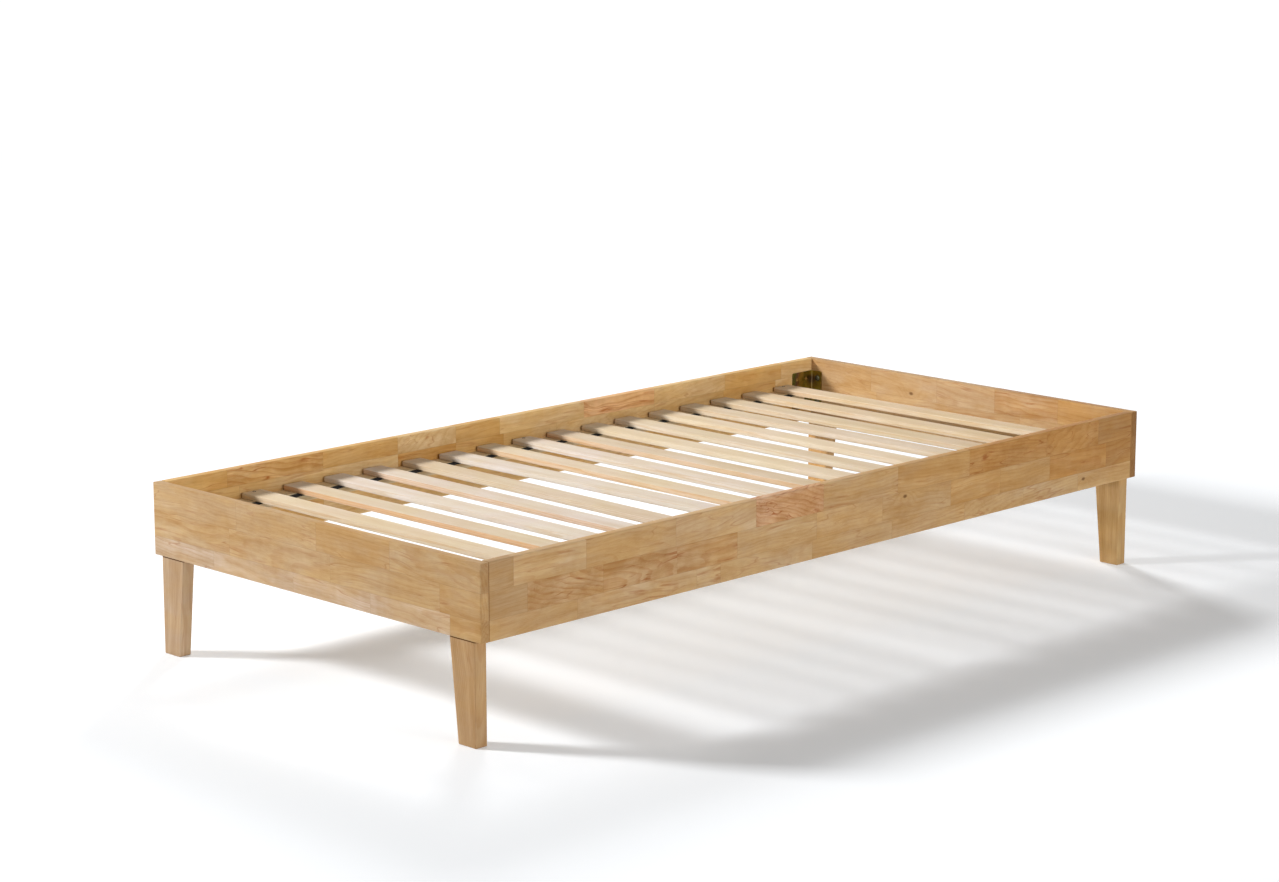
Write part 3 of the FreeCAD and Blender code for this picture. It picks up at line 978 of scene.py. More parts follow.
@dataclass
class Boards:
    """The four boards, each glued up from three strips of staves that meet end to end."""

    radius: float = 2.0 * MM
    seed: int = 5
    foot: Panel = Panel(
        (
            Strip((-0.397, -0.177, 0.047, 0.290), (HONEY, SILVER, SILVER, SILVER, SILVER)),
            Strip((-0.370, -0.063, 0.240), (HONEY, PALE, PALE, PALE)),
            Strip((-0.233, -0.023, 0.217), (PALE, HONEY, PALE, PALE)),
        ),
        end_shade=0.12,
    )
    head: Panel = Panel(
        (
            Strip((-0.310, -0.115, 0.120, 0.345), (HONEY, GOLD, PALE, HONEY, HONEY)),
            Strip((-0.385, -0.170, 0.035, 0.255), (GOLD, HONEY, HONEY, PALE, HONEY)),
            Strip((-0.277, -0.097, 0.073, 0.273), (GOLD, STREAKED, PALE, PALE, HONEY)),
        ),
        # painted light: the head board a little darker and cooler, against the warm light on its inner face
        cast=(0.93, 0.93, 0.97),
        end_shade=0.5,
    )
    # the first stave of the front rail's two upper strips is CORNER_SHADE, painted shade at the near end
    front: Panel = Panel(
        (
            Strip(
                (-0.740, -0.423, -0.357, -0.093, 0.150, 0.383, 0.580, 0.770),
                (HONEY, PALE, PALE, PALE, HONEY, HONEY, PALE, PALE, HONEY),
            ),
            Strip(
                (-0.866, -0.673, -0.477, -0.310, -0.080, 0.120, 0.337, 0.500, 0.670, 0.870),
                (CORNER_SHADE, STREAKED, STREAKED, STREAKED, PALE, HONEY, HONEY, GOLD, GOLD, RUSSET, UMBER),
            ),
            Strip(
                (-0.900, -0.717, -0.480, -0.257, -0.060, 0.167, 0.397, 0.657, 0.840),
                (CORNER_SHADE, PALE, HONEY, PALE, CHERRY, HONEY, GOLD, RUSSET, RUSSET, UMBER),
            ),
        ),
    )
    rear: Panel = Panel(
        (
            Strip(
                (-0.810, -0.560, -0.355, -0.061, 0.195, 0.420, 0.655, 0.850),
                (HONEY, GOLD, PALE, HONEY, HONEY, PALE, HONEY, HONEY, GOLD),
            ),
            Strip(
                (-0.780, -0.355, -0.190, -0.050, 0.110, 0.420, 0.650, 0.830),
                (HONEY, PALE, RUSSET, GOLD, HONEY, PALE, HONEY, GOLD, PALE),
            ),
            Strip(
                (-0.810, -0.560, -0.355, -0.190, -0.061, 0.195, 0.420, 0.655, 0.850),
                (GOLD, STREAKED, GOLD, PALE, GOLD, PALE, CHERRY, PALE, GOLD, PALE),
            ),
        ),
        seams=(262.0 * MM, 312.0 * MM),
        # painted light: the rear rail lighter, since its inner face gets less light than the front rail's outer face
        cast=(1.32, 1.38, 1.30),
    )
    knots: tuple[tuple[str, float, float], ...] = (
        ("front_side_rail", 0.790, 0.225),
        ("front_side_rail", 0.190, 0.283),
        ("head_end_board", 0.150, 0.304),
    )
    tint_spread: float = 0.02
    slant_spread: float = 0.03
    tilt_by_figure: Span = (0.05, 0.09)
    heart_across: Span = (0.18, 0.36)
    heart_through: Span = (0.012, 0.06)
    figure_range: Span = (0.7, 1.3)

    def build(self) -> list[Thing]:
        """Build the boards.

        Returns:
            The four boards.
        """
        side_axes = Axes((1, 0, 0), (0, 0, 1), (0, -1, 0))
        end_axes = Axes((0, 1, 0), (0, 0, 1), (1, 0, 0))
        plans = (
            ("front_side_rail", side_axes, self.front, "side_rail_wood"),
            ("rear_side_rail", side_axes, self.rear, "side_rail_wood"),
            ("foot_end_board", end_axes, self.foot, "end_board_wood"),
            ("head_end_board", end_axes, self.head, "end_board_wood"),
        )
        return [self._board(number, *plan) for number, plan in enumerate(plans)]

    def _board(self, number: int, node: str, axes: Axes, panel: Panel, slot: str) -> Thing:
        """One board in the place of its solid.

        Args:
            number: The board's number, for its own random staves.
            node: The solid's name.
            axes: The board's directions.
            panel: What it looks like.
            slot: The record's material slot.

        Returns:
            The board.
        """
        turn = np.array([axes.along, axes.across, axes.through])
        sides = [tuple(side) for side in np.sort(turn @ np.column_stack(box(node)), axis=1)]
        joints = sorted({joint for strip in panel.strips for joint in strip.joints})
        bar = Bar(*sides, self.radius, joints, panel.seams)
        random = np.random.default_rng(self.seed + number)
        edges = (-FAR, *panel.seams, FAR)
        staves = [
            stave
            for strip, rows in zip(panel.strips, zip(edges, edges[1:]))
            for stave in self._staves(strip, rows, panel.cast, random, 0.5 * sum(sides[2]))
        ]
        starts = np.cumsum([0] + [len(strip.tones) for strip in panel.strips])

        def stave_at(along: Array, across: Array) -> Array:
            """Count the joints before a place in each strip, then take the strip's own count."""
            row = np.searchsorted(panel.seams, across)
            return starts[row] + np.choose(row, [np.searchsorted(strip.joints, along) for strip in panel.strips])

        for owner, along, across in self.knots:
            if owner == node:
                staves[int(stave_at(np.array([along]), np.array([across]))[0])].knot = (along, across)
        skin = bar.skin(axes, np.zeros(3), staves, stave_at)
        skin.values["end"] *= panel.end_shade
        return skin.piece(node + "_glued", LAMINATE, slot, node)

    def _staves(
        self, strip: Strip, rows: Span, cast: Colour, random: Random, depth: float
    ) -> list[Stave]:
        """The staves of one strip: their tones, and seeded places in the tree.

        Args:
            strip: The strip.
            rows: Its seams below and above.
            cast: What the board's colours are multiplied by, as painted light.
            random: The board's random numbers.
            depth: The middle of the board's thickness.

        Returns:
            The staves in order.
        """
        ends = (-FAR, *strip.joints, FAR)
        gain, base = self.tilt_by_figure
        staves = []
        for tone, span in zip(strip.tones, zip(ends, ends[1:])):
            colour, figure = tone.value
            # each stave's tint times the board's painted light gain
            tint = np.array(colour) * cast * random.normal(1.0, self.tint_spread)
            slant, tilt = random.normal(0, self.slant_spread), random.normal(0, base + gain * figure)
            middle = 0.5 * (span[0] + span[1])
            across = random.uniform(*self.heart_across) + slant * middle
            through = random.choice((-1, 1)) * random.uniform(*self.heart_through) * (1.0 + figure)
            heart = (across, depth + through + tilt * middle)
            shift, strength = random.uniform(0, TRUNK), figure * random.uniform(*self.figure_range)
            staves.append(Stave(tuple(tint), heart, (slant, tilt), shift, strength, span, rows))
        return staves


# --- legs ---
@dataclass
class Legs:
    """Four plank legs with an upright outer edge and a sloping inner edge, and a painted shade line under the board.
    """

    top_width: float = 68 * MM
    foot_width: float = 47 * MM
    radius: float = 1.5 * MM
    # painted shade: a dark line at the leg's top under the board's edge; how far below the top it ends, and its soft
    # edge
    shade_line_height: float = 1.9 * MM
    shade_line_blur: float = 0.7 * MM
    foot_shade: float = 0.4
    figure: float = 0.7
    heart_across: Span = (-0.09, -0.03)
    heart_through: Span = (-0.03, 0.03)
    slant_spread: float = 0.03
    tilt: float = 0.04
    seed: int = 21
    tones: tuple[Colour, ...] = (
        paint(181, 146, 104), paint(184, 155, 122), paint(188, 152, 101), paint(190, 150, 98)
    )

    def build(self) -> list[Thing]:
        """Build the legs.

        Returns:
            The four legs.
        """
        random = np.random.default_rng(self.seed)
        corners = (("foot_front", -1), ("foot_rear", 1), ("head_front", -1), ("head_rear", 1))
        return [self._leg(name + "_leg", side, tone, random) for (name, side), tone in zip(corners, self.tones)]

    def _leg(self, node: str, side: int, tone: Colour, random: Random) -> Thing:
        """One leg: its width falls in a straight line from top_width to foot_width.

        Args:
            node: The solid's name.
            side: -1 at the front and 1 at the rear.
            tone: The colour of its wood.
            random: Random numbers.

        Returns:
            The leg.
        """
        low, high = box(node)
        height, thickness = high[2] - low[2], high[0] - low[0]
        axes = Axes((0, 0, 1), (0, -side, 0), (side, 0, 0))
        origin = np.array([0.5 * (low[0] + high[0]), high[1] if side > 0 else low[1], low[2]])
        # rings that bound the painted shade line under the board
        line = (height - self.shade_line_height - self.shade_line_blur, height - self.shade_line_height)
        bar = Bar((0.0, height), (0.0, self.top_width), (-thickness / 2, thickness / 2), self.radius, line)

        def taper(local: Array) -> Array:
            """Scale the width by its share at each height."""
            width = self.foot_width + (self.top_width - self.foot_width) * local[:, 0] / height
            return local * np.column_stack([np.ones_like(width), width / self.top_width, np.ones_like(width)])

        heart = (random.uniform(*self.heart_across), random.uniform(*self.heart_through))
        slant, shift = random.normal(0, self.slant_spread), random.uniform(0, TRUNK)
        staves = [Stave(tone, heart, (slant, self.tilt), shift, self.figure)]
        skin = bar.skin(axes, origin, staves, bend=taper)
        # Painted shade: near the top the end mask rises to 1 in a line under the board's edge; at the foot the end
        # grain's darkening is weakened.
        below = high[2] - skin.points[:, 2]
        end = skin.values["end"]
        line = np.clip((self.shade_line_height + self.shade_line_blur - below) / self.shade_line_blur, 0.0, 1.0)
        skin.values["end"] = np.where(below > height / 2, self.foot_shade * end, np.maximum(end, line))
        return skin.piece(node + "_plank", LEG_WOOD, "leg_wood", node)


# --- slat roll ---
class SlatTone(Enum):
    """Colours of planed pine."""

    CREAM = paint(222, 206, 180)
    WHITE = paint(231, 219, 204)
    TAN = paint(222, 205, 180)
    BROWN = paint(219, 200, 171)


CREAM, WHITE, TAN, BROWN = SlatTone


@dataclass(frozen=True)
class SlatLook:
    """One slat: mm moved along the bed, degrees turned, its colour, and how orange its foot-facing side is."""

    shift: float
    turn: float
    tone: SlatTone
    orange: float = 0.0


@dataclass
class SlatRoll:
    """Sixteen planed slats on two straps, laid by hand and so a little uneven."""

    width: float = 52 * MM
    radius: float = 3 * MM
    first: float = -756 * MM
    pitch: float = 107.2 * MM
    bow: float = 0.5 * MM
    bow_share: float = 0.86  # of the length, between the ledges
    cuts: int = 11
    seed: int = 8
    side_share: float = 0.4  # of the edge radius that belongs to the side
    # painted shade: the foot-facing side of a slat darker than its top
    side_painted_shade: float = 0.92
    orange_tone: Colour = paint(220, 168, 112)
    light_range: Span = (0.95, 1.05)
    rift_range: Span = (0.03, 0.13)
    depth_range: Span = (-0.05, 0.03)
    figure_range: Span = (0.35, 0.8)
    slant_spread: float = 0.008
    tilt: float = 0.004
    looks: tuple[SlatLook, ...] = (
        SlatLook(0, -0.5, CREAM),
        SlatLook(6, 0.2, CREAM, 0.6),
        SlatLook(2, -0.4, WHITE),
        SlatLook(0, -0.5, WHITE, 0.35),
        SlatLook(-4, -1.2, TAN),
        SlatLook(10, 1.0, WHITE),
        SlatLook(1, -0.5, CREAM, 0.35),
        SlatLook(0, -0.4, WHITE),
        SlatLook(0, 0, TAN, 0.35),
        SlatLook(0, 0.1, CREAM),
        SlatLook(-3, 0.1, CREAM),
        SlatLook(-2, -0.1, CREAM),
        SlatLook(1, 0.8, TAN),
        SlatLook(-6, 0.5, BROWN),
        SlatLook(-8, 0.2, BROWN),
        SlatLook(0, 0.9, BROWN),
    )

    @property
    def numbers(self) -> range:
        """The slats' numbers from the foot end."""
        return range(1, len(self.looks) + 1)

    def place_on(self, number: int, side: float) -> float:
        """Where the middle of slat number crosses the line y = side along the bed."""
        look, pitches = self.looks[number - 1], (number - 1) * self.pitch
        return self.first + pitches + look.shift * MM - side * math.tan(math.radians(look.turn))

    def build(self) -> list[Thing]:
        """Build the slats from the foot end."""
        random = np.random.default_rng(self.seed)
        return [self._slat(number, random) for number in self.numbers]

    def _slat(self, number: int, random: Random) -> Thing:
        """One slat: a rounded bar that bows by the cosine of its length.

        Args:
            number: The slat's number from the foot end.
            random: Random numbers.

        Returns:
            The slat.
        """
        node = f"slat_{number:02d}"
        look = self.looks[number - 1]
        low, high = box(node)
        turn = math.radians(look.turn)
        sine, cosine = math.sin(turn), math.cos(turn)
        axes = Axes((-sine, cosine, 0), (-cosine, -sine, 0), (0, 0, 1))
        half = 0.5 * (high[1] - low[1] - abs(sine) * self.width) / cosine
        origin = np.array([0.5 * (low[0] + high[0]), 0.5 * (low[1] + high[1]), low[2]])
        cuts = np.linspace(-half, half, self.cuts + 2)[1:-1].tolist()
        bar = Bar((-half, half), (-self.width / 2, self.width / 2), (0.0, high[2] - low[2]), self.radius, cuts)
        lift = random.uniform(-1.0, 1.0) * self.bow

        def bowed(local: Array) -> Array:
            """Raise or lower the middle, and leave the seats on the ledges where they are."""
            rise = lift * np.cos(np.clip(local[:, 0] / (self.bow_share * half), -1, 1) * RIGHT_ANGLE)
            return local + np.outer(rise, (0, 0, 1))

        tint = np.array(look.tone.value) * random.uniform(*self.light_range)
        rift = random.uniform(*self.rift_range) * random.choice((-1, 1))
        heart = (rift, random.uniform(*self.depth_range))
        shift, figure = random.uniform(0, TRUNK), random.uniform(*self.figure_range)
        slant = random.normal(0, self.slant_spread)
        # the foot-facing side: the tint darkened by painted shade, mixed with the slat's orange tone
        side_tint = tint * self.side_painted_shade * (1 - look.orange) + np.array(self.orange_tone) * look.orange
        staves = [Stave(tuple(colour), heart, (slant, self.tilt), shift, figure) for colour in (tint, side_tint)]

        def stave_at(along: Array, across: Array) -> Array:
            """0 on the broad faces and 1 on the foot-facing side."""
            return (across > self.width / 2 - self.side_share * self.radius).astype(int)

        skin = bar.skin(axes, origin, staves, stave_at, bowed)
        return skin.piece(node + "_planed", PINE, "slat_wood", node)


@dataclass
class Straps:
    """The two webbing straps under the slats, slack between them, with their staples."""

    sag: float = 1.6 * MM
    sag_range: Span = (0.6, 1.3)
    droop: float = 7.0 * MM
    head_sag: float = 0.6 * MM
    steps: int = 9
    ring_steps: int = 16
    side_power: float = 0.25  # the lower, the squarer
    face_power: float = 0.5
    staple_crown: float = 11 * MM
    staple_leg: float = 6 * MM
    staple_bend: float = 1.2 * MM
    staple_wire: float = 0.55 * MM
    wire_shape: Span = (1.3, 0.8)  # width and height over staple_wire
    wire_steps: int = 6
    bend_steps: int = 4
    staple_spread: float = 15 * MM
    staple_scatter: float = 1.5 * MM
    staple_turn: float = 0.12
    seed: int = 13

    def build(self, roll: SlatRoll) -> list[Thing]:
        """Build both straps, each followed by the staples that hold it to the slats of the roll."""
        pairs = ((self._strap(side, roll), self._staples(side, roll)) for side in ("front", "rear"))
        return list(chain.from_iterable(pairs))

    def _strap(self, side: str, roll: SlatRoll) -> Thing:
        """One strap: flat under each slat, a sine squared lower in each gap, its foot end hanging down.

        Its ring is a squared ellipse: the cosine and the sine of an angle, each raised to a power below 1.

        Args:
            side: front or rear.
            roll: The slats.

        Returns:
            The strap.
        """
        node = side + "_slat_strap"
        low, high = box(node)
        middle, width, thick = 0.5 * (low[1] + high[1]), high[1] - low[1], high[2] - low[2]
        random = np.random.default_rng(self.seed)
        crossings = np.array([roll.place_on(number, middle) for number in roll.numbers])
        starts = np.concatenate([[low[0]], crossings + roll.width / 2])
        ends = np.concatenate([crossings - roll.width / 2, [high[0]]])
        sags = self.sag * random.uniform(*self.sag_range, len(crossings) - 1)
        share = np.linspace(0, 1, self.steps)
        gaps = sags[:, None] * np.sin(math.pi * share) ** 2
        drop = np.vstack([self.droop * (1 - share) ** 2, gaps, self.head_sag * share**2])
        x = (starts[:, None] + (ends - starts)[:, None] * share).ravel()
        z = high[2] - thick / 2 - drop.ravel()
        slope = np.gradient(z, x)
        level = np.hypot(1.0, slope)
        angle = np.linspace(0, FULL_TURN, self.ring_steps, endpoint=False)
        square = np.sign(np.cos(angle)) * np.abs(np.cos(angle)) ** self.side_power
        flat = np.sign(np.sin(angle)) * np.abs(np.sin(angle)) ** self.face_power
        line = np.column_stack([x, np.full_like(x, middle), z])
        normal = np.column_stack([-slope / level, np.zeros_like(x), 1 / level])
        points = tube_points(line, normal, (0, 1, 0), -square * width / 2, flat * thick / 2)
        faces = tube_faces(len(x), len(angle))
        grain = points[np.fromiter(chain.from_iterable(faces), int)] - np.array([0, middle, 0])
        return Skin(points, faces, {"grain": grain}).piece(node + "_webbing", WEBBING, "webbing", node)

    def _staples(self, side: str, roll: SlatRoll) -> Thing:
        """Two wire staples at each crossing: a wire carried up, across the strap and down into the slat.

        Args:
            side: front or rear.
            roll: The slats.

        Returns:
            All staples of one strap.
        """
        low, high = box(side + "_slat_strap")
        middle, half, wire = 0.5 * (low[1] + high[1]), self.staple_crown / 2, self.staple_wire
        turn = np.linspace(0, RIGHT_ANGLE, self.bend_steps)
        corner_y = half - self.staple_bend + self.staple_bend * np.sin(turn)
        corner_z = self.staple_bend * (1 - np.cos(turn))
        path_y = np.concatenate([[-half], -corner_y[::-1], corner_y, [half]])
        path_z = np.concatenate([[self.staple_leg], corner_z[::-1], corner_z, [self.staple_leg]])
        run_y, run_z = np.gradient(path_y), np.gradient(path_z)
        run = np.hypot(run_y, run_z)
        angle = np.linspace(0, FULL_TURN, self.wire_steps, endpoint=False)
        line = np.column_stack([np.zeros_like(path_y), path_y, path_z])
        normal = np.column_stack([np.zeros_like(run), -run_z / run, run_y / run])
        width, height = -np.cos(angle) * wire * self.wire_shape[0], np.sin(angle) * wire * self.wire_shape[1]
        one = tube_points(line, normal, (1, 0, 0), width, height)

        random = np.random.default_rng(self.seed + (side == "rear"))
        steps = (-self.staple_spread, self.staple_spread)
        along = [roll.place_on(slat, middle) + step for slat in roll.numbers for step in steps]
        places = np.column_stack([along, np.full(len(along), middle), np.full(len(along), low[2] - wire * 0.5)])
        places += random.normal(0, 1, places.shape) * np.array([self.staple_scatter, self.staple_scatter, 0])
        slant = random.normal(0, self.staple_turn, len(places))[:, None]
        x = one[:, 0] * np.cos(slant) - one[:, 1] * np.sin(slant)
        y = one[:, 0] * np.sin(slant) + one[:, 1] * np.cos(slant)
        points = np.stack([x, y, np.broadcast_to(one[:, 2], x.shape)], 2) + places[:, None]
        faces = repeated(tube_faces(len(line), len(angle)), len(one), len(places))
        return Skin(points.reshape(-1, 3), faces).piece(side + "_strap_staples", STAPLE_WIRE, "screw_steel")


# --- ledges ---
@dataclass
class Ledges:
    """The two battens that carry the slats."""

    radius: float = 1.5 * MM
    tone: Colour = paint(221, 200, 162)
    figure: float = 0.6
    heart_across: Span = (0.05, 0.09)
    heart_below: float = 0.02
    slant_spread: float = 0.004
    tilt: float = 0.002
    seed: int = 31

    def build(self) -> list[Thing]:
        """Build the ledges.

        Returns:
            Both ledges.
        """
        random = np.random.default_rng(self.seed)
        axes = Axes((1, 0, 0), (0, 1, 0), (0, 0, 1))
        things = []
        for node in ("front_slat_ledge", "rear_slat_ledge"):
            low, high = box(node)
            bar = Bar(*zip(low, high), self.radius)
            heart = (0.5 * (low[1] + high[1]) + random.uniform(*self.heart_across), low[2] - self.heart_below)
            slant, shift = random.normal(0, self.slant_spread), random.uniform(0, TRUNK)
            skin = bar.skin(axes, np.zeros(3), [Stave(self.tone, heart, (slant, self.tilt), shift, self.figure)])
            things.append(skin.piece(node + "_batten", PINE, "ledge_wood", node))
        return things


# --- screws and bolts ---
@dataclass(frozen=True)
class Seat:
    """Where a fastener starts and which way it goes in."""

    point: Point
    into: Point


def turned_skin(radius: Array, depth: Array, seats: Sequence[Seat], seed: int) -> Skin:
    """Repeat a turned surface at each seat.

    A point is the seat, plus the depth along its direction, plus the radius times the cosine and the sine of its
    angle along two directions at right angles to it.

    Args:
        radius: Radii as (row, column), from the middle of the head's top to the tip.
        depth: Depths below the seat as (row, column).
        seats: The places.
        seed: For how far each fastener is turned.

    Returns:
        The skin.
    """
    random = np.random.default_rng(seed)
    rows, columns = radius.shape
    points = []
    for seat in seats:
        into = np.array(seat.into, float)
        first = np.cross(into, (0.0, 0.6, 0.8) if into[0] else (1.0, 0.0, 0.0))
        first /= np.linalg.norm(first)
        angle = np.linspace(0, FULL_TURN, columns, endpoint=False) + random.uniform(0, FULL_TURN)
        spoke = np.cos(angle)[:, None] * first + np.sin(angle)[:, None] * np.cross(into, first)
        place = np.array(seat.point) + depth[..., None] * into + radius[..., None] * spoke
        points.append(place.reshape(-1, 3))
    return Skin(np.vstack(points), repeated(tube_faces(rows, columns), rows * columns, len(seats)))


def stacked(rows: Sequence[tuple[Any, Any]], columns: int) -> tuple[Array, Array]:
    """Radii and depths, row below row, each spread over the columns."""
    spread = np.ones(columns)
    return tuple(np.vstack([part * spread for part in parts]) for parts in zip(*rows))


@dataclass(frozen=True)
class Thread:
    """A rolled thread: its pitch, how much of the radius its core keeps, and how sharp its crests are."""

    pitch: float
    core: float
    sharpness: float = 0.0

    def rows(self, start: float, stop: float, radius: float, angle: Array) -> tuple[Array, Array]:
        """A triangle wave of depth / pitch - angle / turn on the core's radius, four rows to a pitch.

        Args:
            start: Depth of the first row.
            stop: Depth that the rows stay above.
            radius: The crests' radius.
            angle: The columns' angles.

        Returns:
            Radii as (row, column) and depths as (row, 1).
        """
        level = np.arange(start, stop, self.pitch / 4)[:, None]
        wave = np.abs(((level / self.pitch - angle / FULL_TURN) % 1.0) * 2 - 1)
        crest = np.clip(wave * (1 + self.sharpness) - self.sharpness, 0, 1)
        return radius * (self.core + (1 - self.core) * crest), level


@dataclass(frozen=True)
class WoodScrew:
    """A countersunk wood screw with a cross recess and a rolled thread. Shares are of the head's radius."""

    head_radius: float
    radius: float
    length: float
    thread: Thread = Thread(1.8 * MM, 0.72, 1.0)
    proud: float = 0.12 * MM
    columns: int = 24
    top_shares: tuple[float, ...] = (0.04, 0.14, 0.24, 0.32, 0.42, 0.54, 0.6, 0.7, 0.93)
    slot_half: float = 0.2
    slot_wall: float = 0.08
    slot_reach: float = 0.62
    slot_run_out: float = 0.2
    slot_depth: float = 0.5
    rim_depth: float = 0.03
    shank_depth: float = 1.1
    tip_length: float = 2.0  # in screw radii
    tip_shares: Span = (0.7, 0.1)  # of the screw's radius

    def surface(self) -> tuple[Array, Array]:
        """Radii and depths of the screw.

        The recess is a cross with sloping walls: its depth is full where the lesser of |x| and |y| is under the
        slot's half width, and fades out towards the slot's end.

        Returns:
            Radii and depths as (row, column).
        """
        angle = np.linspace(0, FULL_TURN, self.columns, endpoint=False)
        head = self.head_radius
        top = np.array(self.top_shares)[:, None] * head
        x, y = np.abs(top * np.cos(angle)), np.abs(top * np.sin(angle))
        slot = np.clip((self.slot_half * head - np.minimum(x, y)) / (self.slot_wall * head), 0, 1)
        reach = np.clip((self.slot_reach * head - np.hypot(x, y)) / (self.slot_run_out * head), 0, 1)
        sunk = self.slot_depth * head * slot * reach - self.proud
        shoulder = self.length - self.tip_length * self.radius
        thread, level = self.thread.rows(self.shank_depth * head, shoulder, self.radius, angle)
        rows = (
            (top, sunk),
            (head, self.rim_depth * head),
            (self.radius, head),
            (thread, level),
            (self.tip_shares[0] * self.radius, shoulder),
            (self.tip_shares[1] * self.radius, self.length),
        )
        return stacked(rows, self.columns)


@dataclass(frozen=True)
class DomedBolt:
    """A bolt with a low domed head and a hexagon socket."""

    head_radius: float = 7.0 * MM
    head_height: float = 4.4 * MM
    rim_height: float = 0.5 * MM
    flat_share: float = 0.5  # of the head's radius
    dome_steps: int = 9
    socket: float = 2.5 * MM
    socket_depth: float = 2.6 * MM
    socket_cone: float = 0.5 * MM
    socket_core: float = 0.1  # radius of the socket's deepest ring over its own
    bevel_depth: float = 0.2 * MM
    bevel_share: float = 1.06
    radius: float = 4.0 * MM
    length: float = 18 * MM
    tip_share: float = 0.8
    thread: Thread = Thread(1.25 * MM, 0.86)
    columns: int = 36

    def surface(self) -> tuple[Array, Array]:
        """Radii and depths of the bolt, with depth 0 under its head.

        The socket's radius is half its width over the cosine of the angle from the nearest flat. The dome is a
        quarter of an ellipse from the flat top to the rim.

        Returns:
            Radii and depths as (row, column).
        """
        angle = np.linspace(0, FULL_TURN, self.columns, endpoint=False)
        sixth = FULL_TURN / 6
        hexagon = self.socket / np.cos((angle + sixth / 2) % sixth - sixth / 2)
        top = -self.head_height
        floor = top + self.socket_depth
        turn = np.linspace(0, RIGHT_ANGLE, self.dome_steps)[:, None]
        face = self.flat_share * self.head_radius
        dome_radius = face + (self.head_radius - face) * np.sin(turn)
        dome_depth = -self.rim_height - (self.head_height - self.rim_height) * np.cos(turn)
        thread, level = self.thread.rows(self.bevel_depth, self.length - self.rim_height, self.radius, angle)
        rows = (
            (self.socket_core * hexagon, floor + self.socket_cone),
            (hexagon, floor),
            (hexagon, top + self.bevel_depth),
            (self.bevel_share * hexagon, top),
            (dome_radius, dome_depth),
            (self.head_radius, 0.0),
            (self.radius, 0.0),
            (thread, level),
            (self.tip_share * self.radius, self.length),
        )
        return stacked(rows, self.columns)


@dataclass
class Fasteners:
    """Screws and bolts whose heads show, and the hidden ones that keep their solids."""

    bracket_gauge: float = 3 * MM
    hole_edge: float = 17 * MM
    screw_columns: Span = (24 * MM, 56 * MM)
    bolt_column: float = 21 * MM
    ledge_pitches: int = 3
    slat_edge: float = 9 * MM
    screwed_slats: tuple[int, ...] = (1, 8, 16)
    bolt: DomedBolt = DomedBolt()
    bracket_screw: WoodScrew = WoodScrew(4.0 * MM, 2.0 * MM, 18 * MM)
    ledge_screw: WoodScrew = WoodScrew(4.6 * MM, 2.4 * MM, 60 * MM, Thread(2.2 * MM, 0.72, 1.0))
    slat_screw: WoodScrew = WoodScrew(4.0 * MM, 2.0 * MM, 25 * MM, proud=0.2 * MM)
    seed: int = 40

    def build(self, roll: SlatRoll) -> list[Thing]:
        """Build the fasteners.

        Args:
            roll: The slats.

        Returns:
            One object for each kind of fastener.
        """
        both, corners = (-1, 1), tuple(product((-1, 1), (-1, 1)))
        low, high = box("head_rear_bracket")
        rows = (low[2] + self.hole_edge, high[2] - self.hole_edge)
        face = high - self.bracket_gauge
        into_rail = [
            Seat((x * (high[0] - column), y * face[1], row), (0, y, 0))
            for (x, y), column, row in product(corners, self.screw_columns, rows)
        ]
        into_board = [
            Seat((x * face[0], y * (high[1] - self.bolt_column), row), (x, 0, 0))
            for (x, y), row in product(corners, rows)
        ]
        low, high = box("rear_slat_ledge")
        middle, gaps = 0.5 * (low[2] + high[2]), range(0, len(roll.looks), self.ledge_pitches)
        into_ledge = [
            Seat((roll.first + (gap - 0.5) * roll.pitch, y * low[1], middle), (0, y, 0))
            for y, gap in product(both, gaps)
        ]
        low, high = box("slat_09")
        column = high[1] - self.slat_edge
        into_slat = [
            Seat((roll.place_on(number, y * column), y * column, high[2]), (0, 0, -1))
            for number, y in product(self.screwed_slats, both)
        ]
        plans = (
            ("bracket_screws", self.bracket_screw, into_rail, "bracket_screw_steel", SCREW_CHROMATE),
            ("bracket_bolts", self.bolt, into_board, "bolt_steel", BOLT_ZINC),
            ("ledge_screws", self.ledge_screw, into_ledge, "screw_steel", SCREW_CHROMATE),
            ("slat_screws", self.slat_screw, into_slat, "dark_screw_steel", SCREW_BLACK),
        )
        things = []
        for number, (node, shape, seats, slot, finish) in enumerate(plans):
            skin = turned_skin(*shape.surface(), seats, self.seed + number)
            things.append(skin.piece(node + "_turned", finish, slot, node))
        return things


def dress(finish: Finish, *nodes: str) -> None:
    """Give solids that stay their finish.

    Args:
        finish: The finish.
        nodes: The solids' names.
    """
    for node in nodes:
        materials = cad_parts[node].data.materials
        materials.clear()
        materials.append(finish.build())


# --- studio ---
@dataclass(frozen=True)
class FloorFinish(Finish):
    """White that takes the bed's shadow, and is lifted where it is seen, the more so far away."""

    white: Colour = (0.84, 0.865, 0.895)
    near_lift: float = 0.175
    far_lift: float = 0.7
    lift_span: Span = (2.0, 4.5)

    def fill(self, net: Net) -> None:
        """Add the nodes.

        Args:
            net: The material's net.
        """
        diffuse = net.node("BsdfDiffuse", {}, {"Color": (*self.white, 1.0)})
        lift = net.ramp(net.length(net.place()), self.lift_span, self.near_lift, self.far_lift)
        glow = net.node("Emission", {}, {"Color": (1, 1, 1, 1), "Strength": net.seen() * lift})
        net.surface(net.node("AddShader", {}, {0: net.out(diffuse), 1: net.out(glow)}))


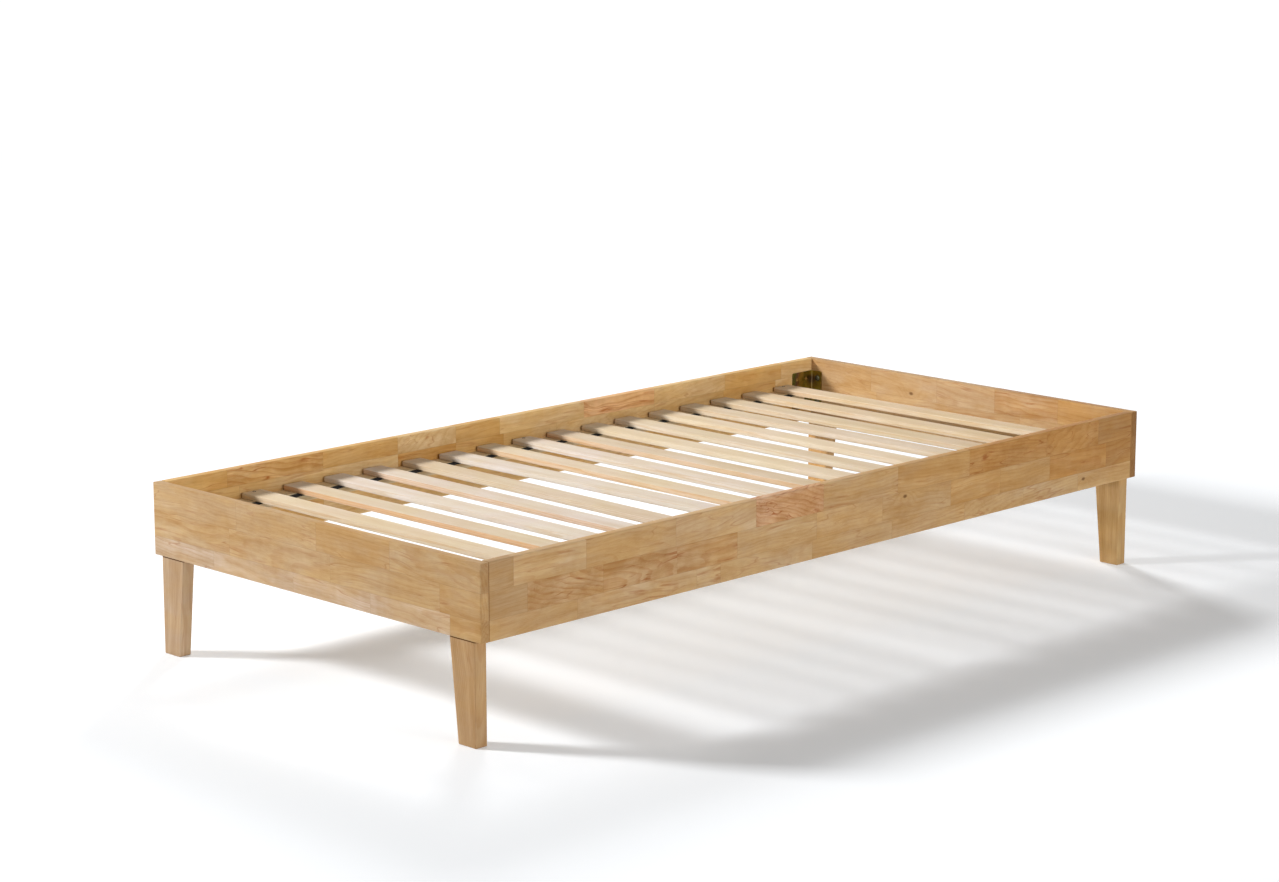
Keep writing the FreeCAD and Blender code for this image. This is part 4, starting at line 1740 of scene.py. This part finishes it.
@dataclass(frozen=True)
class Lamp:
    """A square soft light: where it stands, its side and its power."""

    name: str
    place: Point
    size: float
    strength: float
    aim_height: float = 0.2

    def build(self) -> None:
        """Add the light. It faces the bed, and its light doesn't fade with distance."""
        light = bpy.data.lights.new(self.name, "AREA")
        light.shape, light.size, light.energy = "SQUARE", self.size, self.strength
        light.use_nodes = True
        net = Net(light.node_tree)
        fall = net.node("LightFalloff", {}, {"Strength": 1.0})
        net.surface(net.node("Emission", {}, {"Strength": net.out(fall, "Constant")}), "Light")
        lamp = bpy.data.objects.new(self.name, light)
        lamp.visible_glossy = False
        x, y, z = np.array(self.place) - np.array([0.0, 0.0, self.aim_height])
        lamp.location = self.place
        lamp.rotation_euler = (math.acos(z / math.hypot(x, y, z)), 0.0, math.atan2(y, x) + RIGHT_ANGLE)
        bpy.context.scene.collection.objects.link(lamp)


@dataclass
class Studio:
    """White floor, white surroundings, two soft lights behind, a weak one in front, and the camera."""

    lens: float = 90.254
    sensor: float = 36.0
    clip_end: float = 60.0
    camera_place: Point = (-4.713, -4.5712, 1.7267)
    camera_turn: Point = (78.203, 0.0, -45.303)
    lamps: tuple[Lamp, ...] = (
        Lamp("back_left", (-2.8, 2.4, 2.1), 0.6, 9.8),
        Lamp("back_right", (2.1, 2.5, 2.15), 0.9, 5.6),
        Lamp("fill", (-0.6, -5.0, 0.7), 3.0, 6.5),
    )
    surroundings: float = 0.25
    surroundings_colour: Colour = (1.01, 0.98, 0.94)
    floor_half: float = 14.0
    floor_lines: int = 41
    bend_start: float = 9.0
    bend_rise: float = 0.04

    def build(self) -> None:
        """Build the floor, the lights and the camera."""
        self._floor()
        self._world()
        for lamp in self.lamps:
            lamp.build()
        self._camera()
        bpy.context.scene.view_settings.view_transform = "Standard"

    def _floor(self) -> None:
        """A level sheet that curves up far behind: z is the square of the distance past the bend."""
        line = np.linspace(-self.floor_half, self.floor_half, self.floor_lines)
        x, y = np.meshgrid(line, line, indexing="xy")
        z = np.clip(np.hypot(x, y) - self.bend_start, 0, None) ** 2 * self.bend_rise
        faces = grid_faces(self.floor_lines, self.floor_lines, False).tolist()
        points = np.stack([x, y, z], 2).reshape(-1, 3)
        new_object("floor", points, faces, FloorFinish("white_floor"))

    def _world(self) -> None:
        """White where it is seen, and a plain level, a shade warm, where it lights."""
        world = bpy.data.worlds.new("studio")
        world.use_nodes = True
        net = Net(world.node_tree)
        seen = net.seen()
        strength = seen * (1.0 - self.surroundings) + self.surroundings
        colour = net.mix(seen, self.surroundings_colour, (1.0, 1.0, 1.0))
        net.surface(net.node("Background", {}, {"Color": colour, "Strength": strength}), "World")
        bpy.context.scene.world = world

    def _camera(self) -> None:
        """The camera at the viewing angle of the finished picture."""
        camera = bpy.data.cameras.new("camera")
        camera.lens, camera.sensor_width, camera.clip_end = self.lens, self.sensor, self.clip_end
        viewer = bpy.data.objects.new("camera", camera)
        viewer.location = self.camera_place
        viewer.rotation_euler = tuple(math.radians(angle) for angle in self.camera_turn)
        bpy.context.scene.collection.objects.link(viewer)
        bpy.context.scene.camera = viewer


# --- the whole ---
def main() -> None:
    """Build every part in order."""
    logging.basicConfig(level=logging.INFO, format="%(name)s: %(message)s")
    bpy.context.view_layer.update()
    roll = SlatRoll()
    pieces = Boards().build() + Legs().build() + roll.build()
    pieces += Straps().build(roll) + Ledges().build() + Fasteners().build(roll)
    for piece in pieces:
        LOG.info("%s: %d faces", piece.name, len(piece.data.polygons))
    ends, sides = ("foot", "head"), ("front", "rear")
    dress(BRACKET_CHROMATE, *(f"{end}_{side}_bracket" for end in ends for side in sides))
    dress(DOWEL_WOOD, "corner_dowels")
    dress(BOLT_ZINC, "bracket_bolt_inserts", "leg_hanger_bolts", "leg_bolt_inserts")
    Studio().build()


if __name__ == "__main__":
    main()
